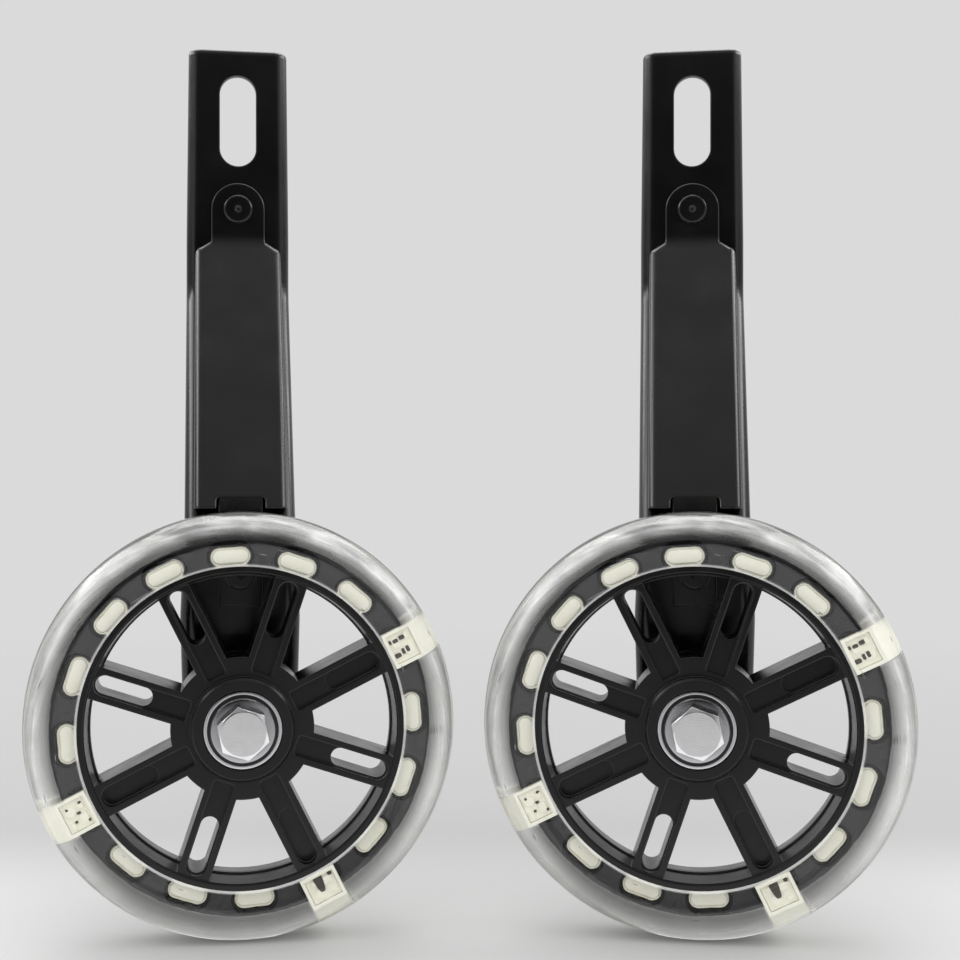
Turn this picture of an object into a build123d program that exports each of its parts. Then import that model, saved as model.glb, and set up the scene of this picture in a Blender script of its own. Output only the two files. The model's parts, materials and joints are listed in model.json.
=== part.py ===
"""A pair of bicycle training wheels, each a pressed steel arm with a light-up polyurethane wheel.

Each unit is modelled about its own wheel: the wheel axis is Y, the outer (bolt head) side is -Y and
the axle is at the origin. The two units are then set down side by side on the ground, Z = 0.
Sizes are in millimetres and angles in degrees.
"""

import math
import os

from build123d import *

# Placing of the pair
UNIT_GAP = 8.4
FACING_ANGLE = 8.7

# Tyre
TYRE_H = 15.1
TYRE_W = 23.0
TYRE_SHOULDER_R = 8.5
BEAD_LIP = 1.1

# Moulded wheel core
RIM_R = 44.9
RIM_WALL = 1.9
RIM_W = 19.0
RIM_DRAFT = 0.7
RIM_RIDGE_W = 1.8
RIM_RIDGE_H = 0.4
RIM_CHAMFER = 0.4
FLANGE_H = 7.4
FLANGE_W = 12.0
SPOKE_COUNT = 8
SPOKE_START = 26.5
SPOKE_W = 9.2
SPOKE_INSET = 0.7
SPOKE_RIB = 1.7
OPENING_CORNER_R = 1.6
POCKET_DEPTH = 2.4
POCKET_INNER_MARGIN = 1.2
POCKET_RIM_MARGIN = 0.5
POCKET_CORNER_R = 1.0
DEEP_POCKET = 4.4
SPOKE_SLOT_L = 16.1
SPOKE_SLOT_LEDGE = 0.35
SLOTTED_SPOKES = (1, 2, 3, 5, 7)
BOSS_WALL = 3.4
BOSS_CHAMFER = 0.8
BARREL_WALL = 5.4
HUB_LIP = 0.5
SEAT_SHOULDER = 2.0

# Windows and light modules round the flange
STATIONS = 16
LIGHT_STATIONS = (0, 8, 12)
WINDOW_L = 11.7
WINDOW_H = 5.4
WINDOW_RIM_GAP = 0.4
LIGHT_W = 10.4
LIGHT_DEPTH = 18.8
LIGHT_RIM_GAP = 0.7
LIGHT_COVER = 2.5
LIGHT_CHAMFER = 3.2
LIGHT_WALL = 1.0
LIGHT_POCKET = 1.6
BOARD_T = 0.8
BOARD_PLAY = 0.1
CHIP_H = 0.5

# Ball bearings, 608 size
BEARING_OD = 22.0
BEARING_BORE = 8.0
BEARING_W = 7.0
BALL_D = 3.969
BALL_COUNT = 7
INNER_LAND_R = 5.95
OUTER_LAND_R = 9.15
SEAL_SEAT_R = 9.8
SEAL_SEAT_DEPTH = 0.75
SEAL_T = 0.45
SEAL_GAP = 0.25
RACE_PLAY = 0.06
CAGE_T = 1.2
CAGE_W = 5.0
CAGE_PLAY = 0.12
RING_CHAMFER = 0.3
SPACER_L = 10.0
SPACER_WALL = 1.9

# Axle bolt and its stack
BOLT_D = 8.0
HEX_AF = 13.0
HEX_FACE_D = 12.2
HEAD_H = 5.3
NUT_H = 6.5
BOLT_TAIL = 0.8
BOLT_TURN = 41.5
WASHER_D = 18.0
WASHER_T = 1.6
EDGE_BREAK = 0.3
BUSH_WALL = 2.6
LOCK_WASHER_T = 2.0
LOCK_WASHER_WALL = 2.4
LOCK_WASHER_SPLIT = 1.2

# Clearances
FIT_PLAY = 0.05
SEAT_PLAY = 0.02
WHEEL_GAP = 6.5

# Pressed steel arm
ARM_T = 2.2
ARM_DEPTH = 9.0
ARM_TOP = 208.5
ARM_SETBACK = 42.0
ARM_UPPER_BEND = 130.0
ARM_LOWER_BEND = 54.0
ARM_BEND_R = 14.0
ARM_EDGE_R = 4.2
ARM_TOP_EDGE_R = 2.0
ARM_W_TOP = 31.6
ARM_W_MID = 33.0
ARM_MID_HEIGHT = 146.0
ARM_WAIST_HEIGHT = 56.0
ARM_BULGE_W = 35.5
ARM_BULGE_HEIGHT = 28.0
ARM_FOOT_R = 17.2
ARM_FOOT_HEIGHT = 8.0
SLOT_W = 11.6
SLOT_L = 29.2
SLOT_HEIGHT = 185.0

# Pressed steel brace
BRACE_T = 2.0
BRACE_W = 27.3
BRACE_EDGE_R = 2.4
BRACE_CORNER_R = 3.0
BRACE_TOP = 146.5
BRACE_SHOULDER = 4.0
BRACE_TYRE_GAP = 0.5
BRACE_NOTCH = 3.4
BRACE_NOTCH_GAP = 0.8
BRACE_NOTCH_CORNER_R = 1.4
BRACE_LOWER_STAND = 9.4
TAB_W = 17.0
TAB_BEND_DROP = 0.8
TAB_BEND_R = 9.0
LOWER_TAB_W = 12.8
LOWER_TAB_STEP = 6.0
LOWER_TAB_END = 31.4

# Rivets
RIVET_D = 5.0
RIVET_HEAD_D = 9.3
RIVET_HEAD_H = 1.6
RIVET_TAIL_D = 7.6
RIVET_TAIL_H = 1.4
RIVET_EDGE = 0.5
RIVET_DIMPLE_D = 2.2
RIVET_DIMPLE_DEPTH = 0.4
UPPER_RIVET_HEIGHT = 156.0
LOWER_RIVET_HEIGHT = 41.0

# Sizes that follow from those above
REACH = 400.0
TYRE_R = RIM_R + TYRE_H
AXLE_SPACING = 2 * TYRE_R + UNIT_GAP
RIM_INNER_R = RIM_R - RIM_WALL
FLANGE_R = RIM_R + FLANGE_H
WINDOW_R = RIM_R + WINDOW_RIM_GAP + WINDOW_H / 2
BEARING_R = BEARING_OD / 2
BORE_R = BEARING_BORE / 2
BEARING_FACE = SPACER_L / 2 + BEARING_W
HUB_FACE = BEARING_FACE + HUB_LIP
BOSS_R = BEARING_R + BOSS_WALL
BARREL_R = BOSS_R + BARREL_WALL
SPOKE_FACE = RIM_W / 2 - SPOKE_INSET
PITCH_R = (INNER_LAND_R + OUTER_LAND_R) / 2
BALL_R = BALL_D / 2
BOLT_R = BOLT_D / 2 - FIT_PLAY
HOLE_R = BOLT_D / 2 + FIT_PLAY
TAB_FRONT = TYRE_W / 2 + WHEEL_GAP
WEB_FRONT = TAB_FRONT + BRACE_T
TOP_FRONT = WEB_FRONT + ARM_SETBACK
HEAD_SEAT = -BEARING_FACE - WASHER_T
NUT_SEAT = WEB_FRONT + ARM_T + LOCK_WASHER_T
BRACE_FOOT = TYRE_R + BRACE_TYRE_GAP
TAB_BEND = BRACE_TOP - TAB_BEND_DROP
LIGHT_FOOT_R = RIM_R + LIGHT_RIM_GAP
LIGHT_TOP_R = TYRE_R - LIGHT_COVER


def along_y(sketch, low, high):
    """Extrudes a front-view sketch (x, z) from y = low to y = high."""
    return Pos(0, high, 0) * extrude(Plane.XZ * sketch, amount=high - low)


def across_x(sketch, half_width):
    """Extrudes a side-view sketch (y, z) equally to both sides."""
    return extrude(Plane.YZ * sketch, amount=half_width, both=True)


def turned(*points):
    """A solid of revolution about Y from (radius, y) points."""
    return revolve(make_face(Polyline(*points, close=True)), Axis.Y)


def ring(outer_r, inner_r, low, high, edge=0.0):
    """A ring about Y from low to high, with its outer edges broken."""
    if not edge:
        return along_y(Circle(outer_r) - Circle(inner_r), low, high)
    return turned(
        (inner_r, low),
        (outer_r - edge, low),
        (outer_r, low + edge),
        (outer_r, high - edge),
        (outer_r - edge, high),
        (inner_r, high),
    )


def spun(shape, angle):
    """Turns a shape in the wheel's plane, counter-clockwise as seen from the bolt head."""
    return Rot(0, -angle, 0) * shape


def direction(start, end):
    """The unit vector from start to end."""
    length = math.dist(start, end)
    return ((end[0] - start[0]) / length, (end[1] - start[1]) / length)


def moved_line(points, distance):
    """A bent line moved sideways to its left by distance, with its runs kept parallel."""
    runs = [direction(a, b) for a, b in zip(points, points[1:])]
    moved = []
    for (x, y), into, out in zip(points, runs[:1] + runs, runs + runs[-1:]):
        across = (-into[1] - out[1], into[0] + out[0])
        reach = 2 * distance / (across[0] ** 2 + across[1] ** 2)
        moved.append((x + across[0] * reach, y + across[1] * reach))
    return moved


def between(first, second):
    """The face between two open lines that run the same way."""
    ends = [Line(first @ 0, second @ 0), Line(first @ 1, second @ 1)]
    return make_face([*first.edges(), *second.edges(), *ends])


def arm_line(depth, extra=0.0):
    """The arm's front line in side view (y, z), top to foot, moved back through the sheet by depth."""
    front = [
        (TOP_FRONT, ARM_TOP + extra),
        (TOP_FRONT, ARM_UPPER_BEND),
        (WEB_FRONT, ARM_LOWER_BEND),
        (WEB_FRONT, -ARM_FOOT_R - extra),
    ]
    return FilletPolyline(*moved_line(front, depth), radius=[ARM_BEND_R + depth, ARM_BEND_R - depth])


def arm_outline(inset):
    """The arm's front view: tapered sides, a straight top and a round foot."""
    foot = ARM_FOOT_R - inset
    right = [
        (foot, 0),
        (foot, ARM_FOOT_HEIGHT),
        (ARM_BULGE_W / 2 - inset, ARM_BULGE_HEIGHT),
        (ARM_W_MID / 2 - inset, ARM_WAIST_HEIGHT),
        (ARM_W_MID / 2 - inset, ARM_MID_HEIGHT),
        (ARM_W_TOP / 2 - inset, ARM_TOP - inset),
    ]
    left = [(-x, z) for x, z in right]
    bends = [40, 40, 40, 200]
    sides = [FilletPolyline(*points, radius=bends) for points in (right, left)]
    top = Line(right[-1], left[-1])
    round_end = ThreePointArc((-foot, 0), (0, -foot), (foot, 0))
    return make_face([*sides[0].edges(), *sides[1].edges(), top, round_end])


def beside_web(edge, line):
    """Whether an edge runs along the arm's web, given its line in side view, and not straight across it."""
    points = [edge @ place for place in (0.1, 0.5, 0.9)]
    if any(line.distance_to(Vertex(p.Y, p.Z, 0)) > 0.01 for p in points):
        return False
    return edge.geom_type != GeomType.LINE or abs((edge % 0.5).X) < 0.999


def arm_block(inset, back):
    """A solid in the arm's shape, drawn in by inset, with its long front edges rolled."""
    block = along_y(arm_outline(inset), -REACH, REACH)
    web = arm_line(inset, 1)
    block &= across_x(between(web, arm_line(back, 1)), REACH)
    rolled = [e for e in block.edges() if beside_web(e, web)]
    return fillet(rolled, ARM_EDGE_R - inset)


def on_arm_top(edge):
    """Whether an edge borders the arm's top, apart from the one along its open back."""
    points = [edge @ place for place in (0.1, 0.5, 0.9)]
    if any(abs(p.Z - ARM_TOP) > 0.01 for p in points):
        return False
    return any(p.Y < TOP_FRONT + ARM_DEPTH - 0.01 for p in points)


def rivet_hole(web, height):
    """A clear hole for a rivet through the brace's tab and the arm's web."""
    return along_y(Pos(0, height) * Circle(RIVET_D / 2 + FIT_PLAY), web - BRACE_T - 1, web + ARM_T + 1)


def make_arm():
    """The pressed steel pan: a bent web with a rim all round, an axle slot and three holes."""
    shell = arm_block(0, ARM_DEPTH)
    shell = fillet([e for e in shell.edges() if on_arm_top(e)], ARM_TOP_EDGE_R)
    shell -= arm_block(ARM_T, ARM_DEPTH + 1)
    slot = Pos(0, SLOT_HEIGHT) * SlotOverall(SLOT_L, SLOT_W, rotation=90)
    shell -= along_y(slot, TOP_FRONT - 1, TOP_FRONT + ARM_T + 1)
    shell -= rivet_hole(TOP_FRONT, UPPER_RIVET_HEIGHT)
    shell -= rivet_hole(WEB_FRONT, LOWER_RIVET_HEIGHT)
    shell -= along_y(Circle(HOLE_R), WEB_FRONT - 1, WEB_FRONT + ARM_T + 1)
    return shell


def brace_slope():
    """How far the brace's face comes forward for each millimetre down."""
    web_at_foot = WEB_FRONT + ARM_SETBACK * (BRACE_FOOT - ARM_LOWER_BEND) / (ARM_UPPER_BEND - ARM_LOWER_BEND)
    return (TOP_FRONT - BRACE_T - web_at_foot + BRACE_LOWER_STAND) / (TAB_BEND - BRACE_FOOT)


def brace_face(height):
    """How far back the brace's sloping face is at a height. It meets the upper tab's face at the bend."""
    return TOP_FRONT - BRACE_T - (TAB_BEND - height) * brace_slope()


def brace_outline(inset, foot):
    """The brace's front view: a long channel with sloping shoulders."""
    half = BRACE_W / 2 - inset
    neck = TAB_W / 2 - inset / 2
    top = BRACE_TOP - inset
    shoulder = top - BRACE_SHOULDER
    corner = BRACE_CORNER_R - inset
    points = [(-half, foot), (-half, shoulder), (-neck, top), (neck, top), (half, shoulder), (half, foot)]
    sides = FilletPolyline(*points, radius=corner)
    return make_face([*sides.edges(), Line(points[-1], points[0])])


def brace_side(depth, high, low, back):
    """A side view from the brace's face, moved back by depth, to the line at its back."""
    shift = depth * math.hypot(1, brace_slope())
    face = Line((brace_face(high) + shift, high), (brace_face(low) + shift, low))
    return between(face, back)


def upper_tab():
    """The round-ended tab that lies on the arm below its slot and bends into the brace's face."""
    low = BRACE_TOP - BRACE_SHOULDER - 2 * BRACE_T
    line = [
        (TOP_FRONT - BRACE_T, UPPER_RIVET_HEIGHT + TAB_W),
        (TOP_FRONT - BRACE_T, TAB_BEND),
        (brace_face(low), low),
    ]
    front = FilletPolyline(*line, radius=TAB_BEND_R)
    back = FilletPolyline(*moved_line(line, BRACE_T), radius=TAB_BEND_R + BRACE_T)
    shank = Pos(0, (UPPER_RIVET_HEIGHT + low) / 2) * Rectangle(TAB_W, UPPER_RIVET_HEIGHT - low)
    shape = shank + Pos(0, UPPER_RIVET_HEIGHT) * Circle(TAB_W / 2)
    return across_x(between(front, back), REACH) & along_y(shape, -REACH, REACH)


def lower_tab():
    """The tab that steps back from the brace's face to the arm's lower web."""
    notch = BRACE_FOOT + BRACE_NOTCH
    start = notch + 2 * BRACE_T
    line = [
        (brace_face(start), start),
        (brace_face(notch), notch),
        (TAB_FRONT, notch - LOWER_TAB_STEP),
        (TAB_FRONT, LOWER_TAB_END),
    ]
    strip = between(Polyline(*line), Polyline(*moved_line(line, BRACE_T)))
    return across_x(strip, LOWER_TAB_W / 2)


def make_brace():
    """The pressed steel channel with its riveted tabs."""
    behind = TOP_FRONT + ARM_DEPTH
    back = Line((behind, ARM_TOP + 1), (behind, -ARM_FOOT_R - 1))
    body = along_y(brace_outline(0, BRACE_FOOT), -REACH, REACH)
    body &= across_x(brace_side(0, BRACE_TOP + 1, BRACE_FOOT - 1, back), REACH)
    face = [e for e in body.edges() if all(abs(p.Y - brace_face(p.Z)) < 0.01 for p in (e @ 0.1, e @ 0.5, e @ 0.9))]
    rolled = [e for e in face if (e @ 0.5).Z > BRACE_FOOT + 0.01]
    body = fillet(rolled, BRACE_EDGE_R)
    body -= across_x(between(arm_line(0, 1), back), REACH)
    hollow = along_y(brace_outline(BRACE_T, BRACE_FOOT - 1), -REACH, REACH)
    hollow &= across_x(brace_side(BRACE_T, BRACE_TOP - BRACE_T, BRACE_FOOT - 1, arm_line(0)), REACH)
    body -= hollow
    notch_w = LOWER_TAB_W + 2 * BRACE_NOTCH_GAP
    notch = Pos(0, BRACE_FOOT) * RectangleRounded(notch_w, 2 * BRACE_NOTCH, BRACE_NOTCH_CORNER_R)
    body -= along_y(notch, -REACH, REACH)
    body += upper_tab()
    body += lower_tab()
    body -= rivet_hole(TOP_FRONT, UPPER_RIVET_HEIGHT)
    body -= rivet_hole(WEB_FRONT, LOWER_RIVET_HEIGHT)
    return body


def make_rivet(web, height):
    """A flat-headed rivet through the brace's tab and the arm's web."""
    seat = web - BRACE_T
    front = seat - RIVET_HEAD_H
    back = web + ARM_T
    head = RIVET_HEAD_D / 2
    tail = RIVET_TAIL_D / 2
    dimple = RIVET_DIMPLE_D / 2
    rivet = turned(
        (0, front + RIVET_DIMPLE_DEPTH),
        (dimple / 2, front + RIVET_DIMPLE_DEPTH),
        (dimple, front),
        (head - RIVET_EDGE, front),
        (head, front + RIVET_EDGE),
        (head, seat),
        (RIVET_D / 2, seat),
        (RIVET_D / 2, back),
        (tail, back),
        (tail - RIVET_EDGE, back + RIVET_TAIL_H),
        (0, back + RIVET_TAIL_H),
    )
    return Pos(0, 0, height) * rivet


def make_rim():
    """The rim with its perforated flange, notched for the light modules."""
    edge = RIM_W / 2
    inner = RIM_INNER_R - RIM_DRAFT
    ridge = RIM_RIDGE_W / 2
    half = [
        (inner - RIM_RIDGE_H, ridge),
        (inner, ridge),
        (RIM_INNER_R, edge - RIM_CHAMFER),
        (RIM_INNER_R + RIM_CHAMFER, edge),
        (RIM_R, edge),
        (RIM_R, FLANGE_W / 2),
        (FLANGE_R, FLANGE_W / 2),
    ]
    rim = turned(*half, *[(r, -y) for r, y in reversed(half)])
    window = along_y(Pos(WINDOW_R, 0) * SlotOverall(WINDOW_L, WINDOW_H, rotation=90), -FLANGE_W, FLANGE_W)
    notch = along_y(Pos(LIGHT_FOOT_R + REACH / 2, 0) * Rectangle(REACH, LIGHT_W), -FLANGE_W, FLANGE_W)
    for station in range(STATIONS):
        cut = notch if station in LIGHT_STATIONS else window
        rim -= spun(cut, SPOKE_START + station * 360 / STATIONS)
    return rim


def make_hub():
    """The hub barrel with a raised boss and a bearing seat at each end."""
    seat = BEARING_R + SEAT_PLAY
    half = [
        (BEARING_R - SEAT_SHOULDER, SPACER_L / 2),
        (seat, SPACER_L / 2),
        (seat, HUB_FACE),
        (BOSS_R - BOSS_CHAMFER, HUB_FACE),
        (BOSS_R, HUB_FACE - BOSS_CHAMFER),
        (BOSS_R, SPOKE_FACE),
        (BARREL_R, SPOKE_FACE),
    ]
    return turned(*half, *[(r, -y) for r, y in reversed(half)])


def make_web(angles):
    """The spokes as one disc between hub and rim, with openings whose outer corners are rounded."""
    disc = Circle(RIM_INNER_R + RIM_CHAMFER) - Circle(BARREL_R - 1)
    gaps = Circle(RIM_INNER_R) - Circle(BARREL_R - 0.5)
    for angle in angles:
        gaps -= Rot(0, 0, angle) * Pos(RIM_R / 2, 0) * Rectangle(RIM_R, SPOKE_W)
    for gap in gaps.faces():
        corners = [v for v in gap.vertices() if math.hypot(v.X, v.Y) > RIM_INNER_R - 0.01]
        disc -= fillet(corners, OPENING_CORNER_R)
    return along_y(disc, -SPOKE_FACE, SPOKE_FACE)


def spoke_pocket(inner, outer, width):
    """A spoke's pocket in front view, square at the hub and round at the rim."""
    middle = outer - width / 2
    square = Pos((inner + middle) / 2, 0) * Rectangle(middle - inner, width)
    square = fillet(square.vertices().group_by(Axis.X)[0], POCKET_CORNER_R)
    return square + Pos(middle, 0) * Circle(width / 2)


def make_core(rim):
    """The whole moulding: hub, rim and eight spokes with pockets, five of them slotted through."""
    angles = [SPOKE_START + k * 360 / SPOKE_COUNT for k in range(SPOKE_COUNT)]
    core = make_hub() + rim + make_web(angles)
    inner = BOSS_R + POCKET_INNER_MARGIN
    outer = RIM_INNER_R - POCKET_RIM_MARGIN
    width = SPOKE_W - 2 * SPOKE_RIB
    pocket = spoke_pocket(inner, outer, width)
    slot_end = outer - SPOKE_SLOT_LEDGE
    slot = Pos(slot_end - SPOKE_SLOT_L / 2, 0) * SlotOverall(SPOKE_SLOT_L, width - 2 * SPOKE_SLOT_LEDGE)
    shallow = SPOKE_FACE - POCKET_DEPTH
    deep = SPOKE_FACE - DEEP_POCKET
    faces = [along_y(pocket, -HUB_FACE, -shallow), along_y(pocket, shallow, HUB_FACE)]
    blind = [along_y(slot, -HUB_FACE, -deep), along_y(slot, deep, HUB_FACE)]
    through = [along_y(slot, -HUB_FACE, HUB_FACE)]
    for k, angle in enumerate(angles):
        for cut in faces + (through if k in SLOTTED_SPOKES else blind):
            core -= spun(cut, angle)
    return core


def light_block():
    """The outside of a light module, lying along +X from the rim."""
    side = LIGHT_DEPTH / 2
    shoulder = LIGHT_TOP_R - LIGHT_CHAMFER
    profile = Polyline(
        (LIGHT_FOOT_R, -side),
        (shoulder, -side),
        (LIGHT_TOP_R, LIGHT_CHAMFER - side),
        (LIGHT_TOP_R, side - LIGHT_CHAMFER),
        (shoulder, side),
        (LIGHT_FOOT_R, side),
        close=True,
    )
    return extrude(make_face(profile), amount=LIGHT_W / 2, both=True)


def light_floor(margin):
    """The rectangle of the board's pocket in a light module's face, drawn in by margin."""
    low = LIGHT_FOOT_R + LIGHT_WALL
    high = LIGHT_TOP_R - LIGHT_CHAMFER - LIGHT_WALL
    across = LIGHT_W - 2 * LIGHT_WALL
    return Pos((low + high) / 2, 0) * Rectangle(high - low - 2 * margin, across - 2 * margin)


def make_light_case():
    """A light module's case, with an open pocket for the board in its outer face."""
    face = -LIGHT_DEPTH / 2
    return light_block() - along_y(light_floor(0), face - 1, face + LIGHT_POCKET)


def make_light_board():
    """A light module's board with a driver chip, two lamps and a coil."""
    floor = -LIGHT_DEPTH / 2 + LIGHT_POCKET
    top = floor - BOARD_T
    plate = light_floor(BOARD_PLAY)
    centre = plate.center()
    size = plate.bounding_box().size
    board = along_y(plate, top, floor)
    for x, z, length, width in ((-0.22, 0.2, 0.3, 0.34), (-0.28, -0.24, 0.22, 0.16), (0.3, 0.3, 0.16, 0.2)):
        chip = Pos(centre.X + x * size.X, z * size.Y) * Rectangle(length * size.X, width * size.Y)
        board += along_y(chip, top - CHIP_H, top)
    coil = Pos(centre.X + 0.2 * size.X, -0.18 * size.Y) * Circle(0.17 * size.Y)
    board += along_y(coil, top - CHIP_H, top)
    return board


def make_tyre(rim, blocks):
    """The clear tyre, cast round the flange and the light modules and through the windows."""
    half = TYRE_W / 2
    bead = RIM_W / 2
    shoulder = TYRE_R - TYRE_SHOULDER_R
    tread = half - TYRE_SHOULDER_R
    bow = TYRE_SHOULDER_R * math.sqrt(0.5)
    section = make_face([
        Line((RIM_R, -bead), (RIM_R, bead)),
        Line((RIM_R, bead), (RIM_R + BEAD_LIP, bead + BEAD_LIP)),
        Line((RIM_R + BEAD_LIP, bead + BEAD_LIP), (shoulder, half)),
        ThreePointArc((shoulder, half), (shoulder + bow, tread + bow), (TYRE_R, tread)),
        Line((TYRE_R, tread), (TYRE_R, -tread)),
        ThreePointArc((TYRE_R, -tread), (shoulder + bow, -tread - bow), (shoulder, -half)),
        Line((shoulder, -half), (RIM_R + BEAD_LIP, -bead - BEAD_LIP)),
        Line((RIM_R + BEAD_LIP, -bead - BEAD_LIP), (RIM_R, -bead)),
    ])
    tyre = revolve(section, Axis.Y) - rim
    for block in blocks:
        tyre -= block
    return tyre


def make_bearing(middle):
    """The pieces of a sealed ball bearing whose middle is at y = middle."""
    half = BEARING_W / 2
    step = half - SEAL_SEAT_DEPTH
    groove = revolve(Pos(PITCH_R, 0) * Circle(BALL_R + RACE_PLAY), Axis.Y)
    outer_half = [
        (OUTER_LAND_R, step),
        (SEAL_SEAT_R, step),
        (SEAL_SEAT_R, half),
        (BEARING_R - RING_CHAMFER, half),
        (BEARING_R, half - RING_CHAMFER),
    ]
    outer = turned(*outer_half, *[(r, -y) for r, y in reversed(outer_half)]) - groove
    inner = ring(INNER_LAND_R, BORE_R, -half, half) - groove
    ball = Pos(PITCH_R, 0, 0) * Sphere(BALL_R)
    pocket = Pos(PITCH_R, 0, 0) * Sphere(BALL_R + CAGE_PLAY)
    cage = ring(PITCH_R + CAGE_T / 2, PITCH_R - CAGE_T / 2, -CAGE_W / 2, CAGE_W / 2)
    turns = [k * 360 / BALL_COUNT for k in range(BALL_COUNT)]
    for angle in turns:
        cage -= spun(pocket, angle)
    seal = ring(SEAL_SEAT_R - SEAT_PLAY, INNER_LAND_R + SEAL_GAP, step, step + SEAL_T)
    pieces = {
        "outer_ring": outer,
        "inner_ring": inner,
        "balls": Compound([spun(ball, angle).solid() for angle in turns]),
        "cage": cage,
        "seals": Compound([seal.solid(), mirror(seal, Plane.XZ).solid()]),
    }
    return {name: Pos(0, middle, 0) * piece for name, piece in pieces.items()}


def hexagon(low, high, break_low, break_high):
    """A hexagon prism about Y, with the corners of the named ends turned off."""
    corner = HEX_AF / math.sqrt(3)
    face = HEX_FACE_D / 2
    drop = (corner - face) * math.tan(math.radians(30))
    prism = along_y(RegularPolygon(corner, 6, rotation=BOLT_TURN), low, high)
    points = [(0, low), (corner, low), (corner, high), (0, high)]
    if break_high:
        points[2:3] = [(corner, high - drop), (face, high)]
    if break_low:
        points[1:2] = [(face, low), (corner, low + drop)]
    return prism & turned(*points)


def make_bolt():
    """The axle bolt, with its hexagon head on the outer side."""
    end = NUT_SEAT + NUT_H + BOLT_TAIL
    shank = turned(
        (0, HEAD_SEAT),
        (BOLT_R, HEAD_SEAT),
        (BOLT_R, end - BOLT_TAIL),
        (BOLT_R - BOLT_TAIL, end),
        (0, end),
    )
    return hexagon(HEAD_SEAT - HEAD_H, HEAD_SEAT, True, False) + shank


def make_nut():
    """The axle nut behind the arm."""
    return hexagon(NUT_SEAT, NUT_SEAT + NUT_H, True, True) - along_y(Circle(HOLE_R), NUT_SEAT - 1, REACH)


def make_lock_washer():
    """The split spring washer under the nut."""
    low = WEB_FRONT + ARM_T
    washer = ring(HOLE_R + LOCK_WASHER_WALL, HOLE_R, low, low + LOCK_WASHER_T)
    split = Pos(0, HOLE_R) * Rectangle(LOCK_WASHER_SPLIT, 2 * HOLE_R)
    return washer - along_y(split, low - 1, low + LOCK_WASHER_T + 1)


def make_unit():
    """All pieces of one unit, by name, about its own axle."""
    rim = make_rim()
    turns = [SPOKE_START + station * 360 / STATIONS for station in LIGHT_STATIONS]
    pieces = {
        "arm": make_arm(),
        "brace": make_brace(),
        "upper_rivet": make_rivet(TOP_FRONT, UPPER_RIVET_HEIGHT),
        "lower_rivet": make_rivet(WEB_FRONT, LOWER_RIVET_HEIGHT),
        "wheel_core": make_core(rim),
        "tyre": make_tyre(rim, [spun(light_block(), angle) for angle in turns]),
        "bearing_spacer": ring(BORE_R + SPACER_WALL, HOLE_R, -SPACER_L / 2, SPACER_L / 2),
        "axle_bolt": make_bolt(),
        "bolt_washer": ring(WASHER_D / 2, HOLE_R, HEAD_SEAT, HEAD_SEAT + WASHER_T, EDGE_BREAK),
        "standoff_bush": ring(HOLE_R + BUSH_WALL, HOLE_R, BEARING_FACE, WEB_FRONT, EDGE_BREAK),
        "lock_washer": make_lock_washer(),
        "axle_nut": make_nut(),
    }
    for number, angle in enumerate(turns, 1):
        pieces[f"light_case_{number}"] = spun(make_light_case(), angle)
        pieces[f"light_board_{number}"] = spun(make_light_board(), angle)
    middle = (SPACER_L + BEARING_W) / 2
    for end, place in (("front", -middle), ("rear", middle)):
        for name, piece in make_bearing(place).items():
            pieces[f"{end}_{name}"] = piece
    return pieces


def unit_place(turn):
    """Where a unit's axle goes on the ground: turn is 1 for the left unit and -1 for the right."""
    return Pos(-turn * AXLE_SPACING / 2, 0, TYRE_R) * Rot(0, 0, turn * FACING_ANGLE)


def make_pair():
    """Both units on the ground by name, and the move that centres them on the origin."""
    unit = make_unit()
    pieces = {}
    for side, turn in (("left", 1), ("right", -1)):
        for name, piece in unit.items():
            pieces[f"{side}_{name}"] = unit_place(turn) * piece
    box = Compound([solid for piece in pieces.values() for solid in piece.solids()]).bounding_box()
    return pieces, Pos(-box.center().X, -box.center().Y, -box.min.Z)


def main():
    """Writes one file for each piece of the centred pair."""
    os.makedirs("parts", exist_ok=True)
    pieces, centred = make_pair()
    for name, piece in pieces.items():
        export_step(centred * piece, f"parts/{name}.step")


if __name__ == "__main__":
    main()
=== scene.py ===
"""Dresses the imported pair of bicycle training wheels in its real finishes.

The solids carry the shapes. This script gives each one its finish, casts the clear tyres so that the
core's flange and the light modules lie bonded inside them, fills the flange's windows with hazy resin,
adds the small parts on the light boards, and sets a plain pale studio with a camera at the
photograph's viewing angle.
"""

import json
import logging
import math
from dataclasses import dataclass, field
from enum import Enum
from typing import Any, Sequence

import bmesh
import bpy
from mathutils import Matrix, Vector

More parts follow.
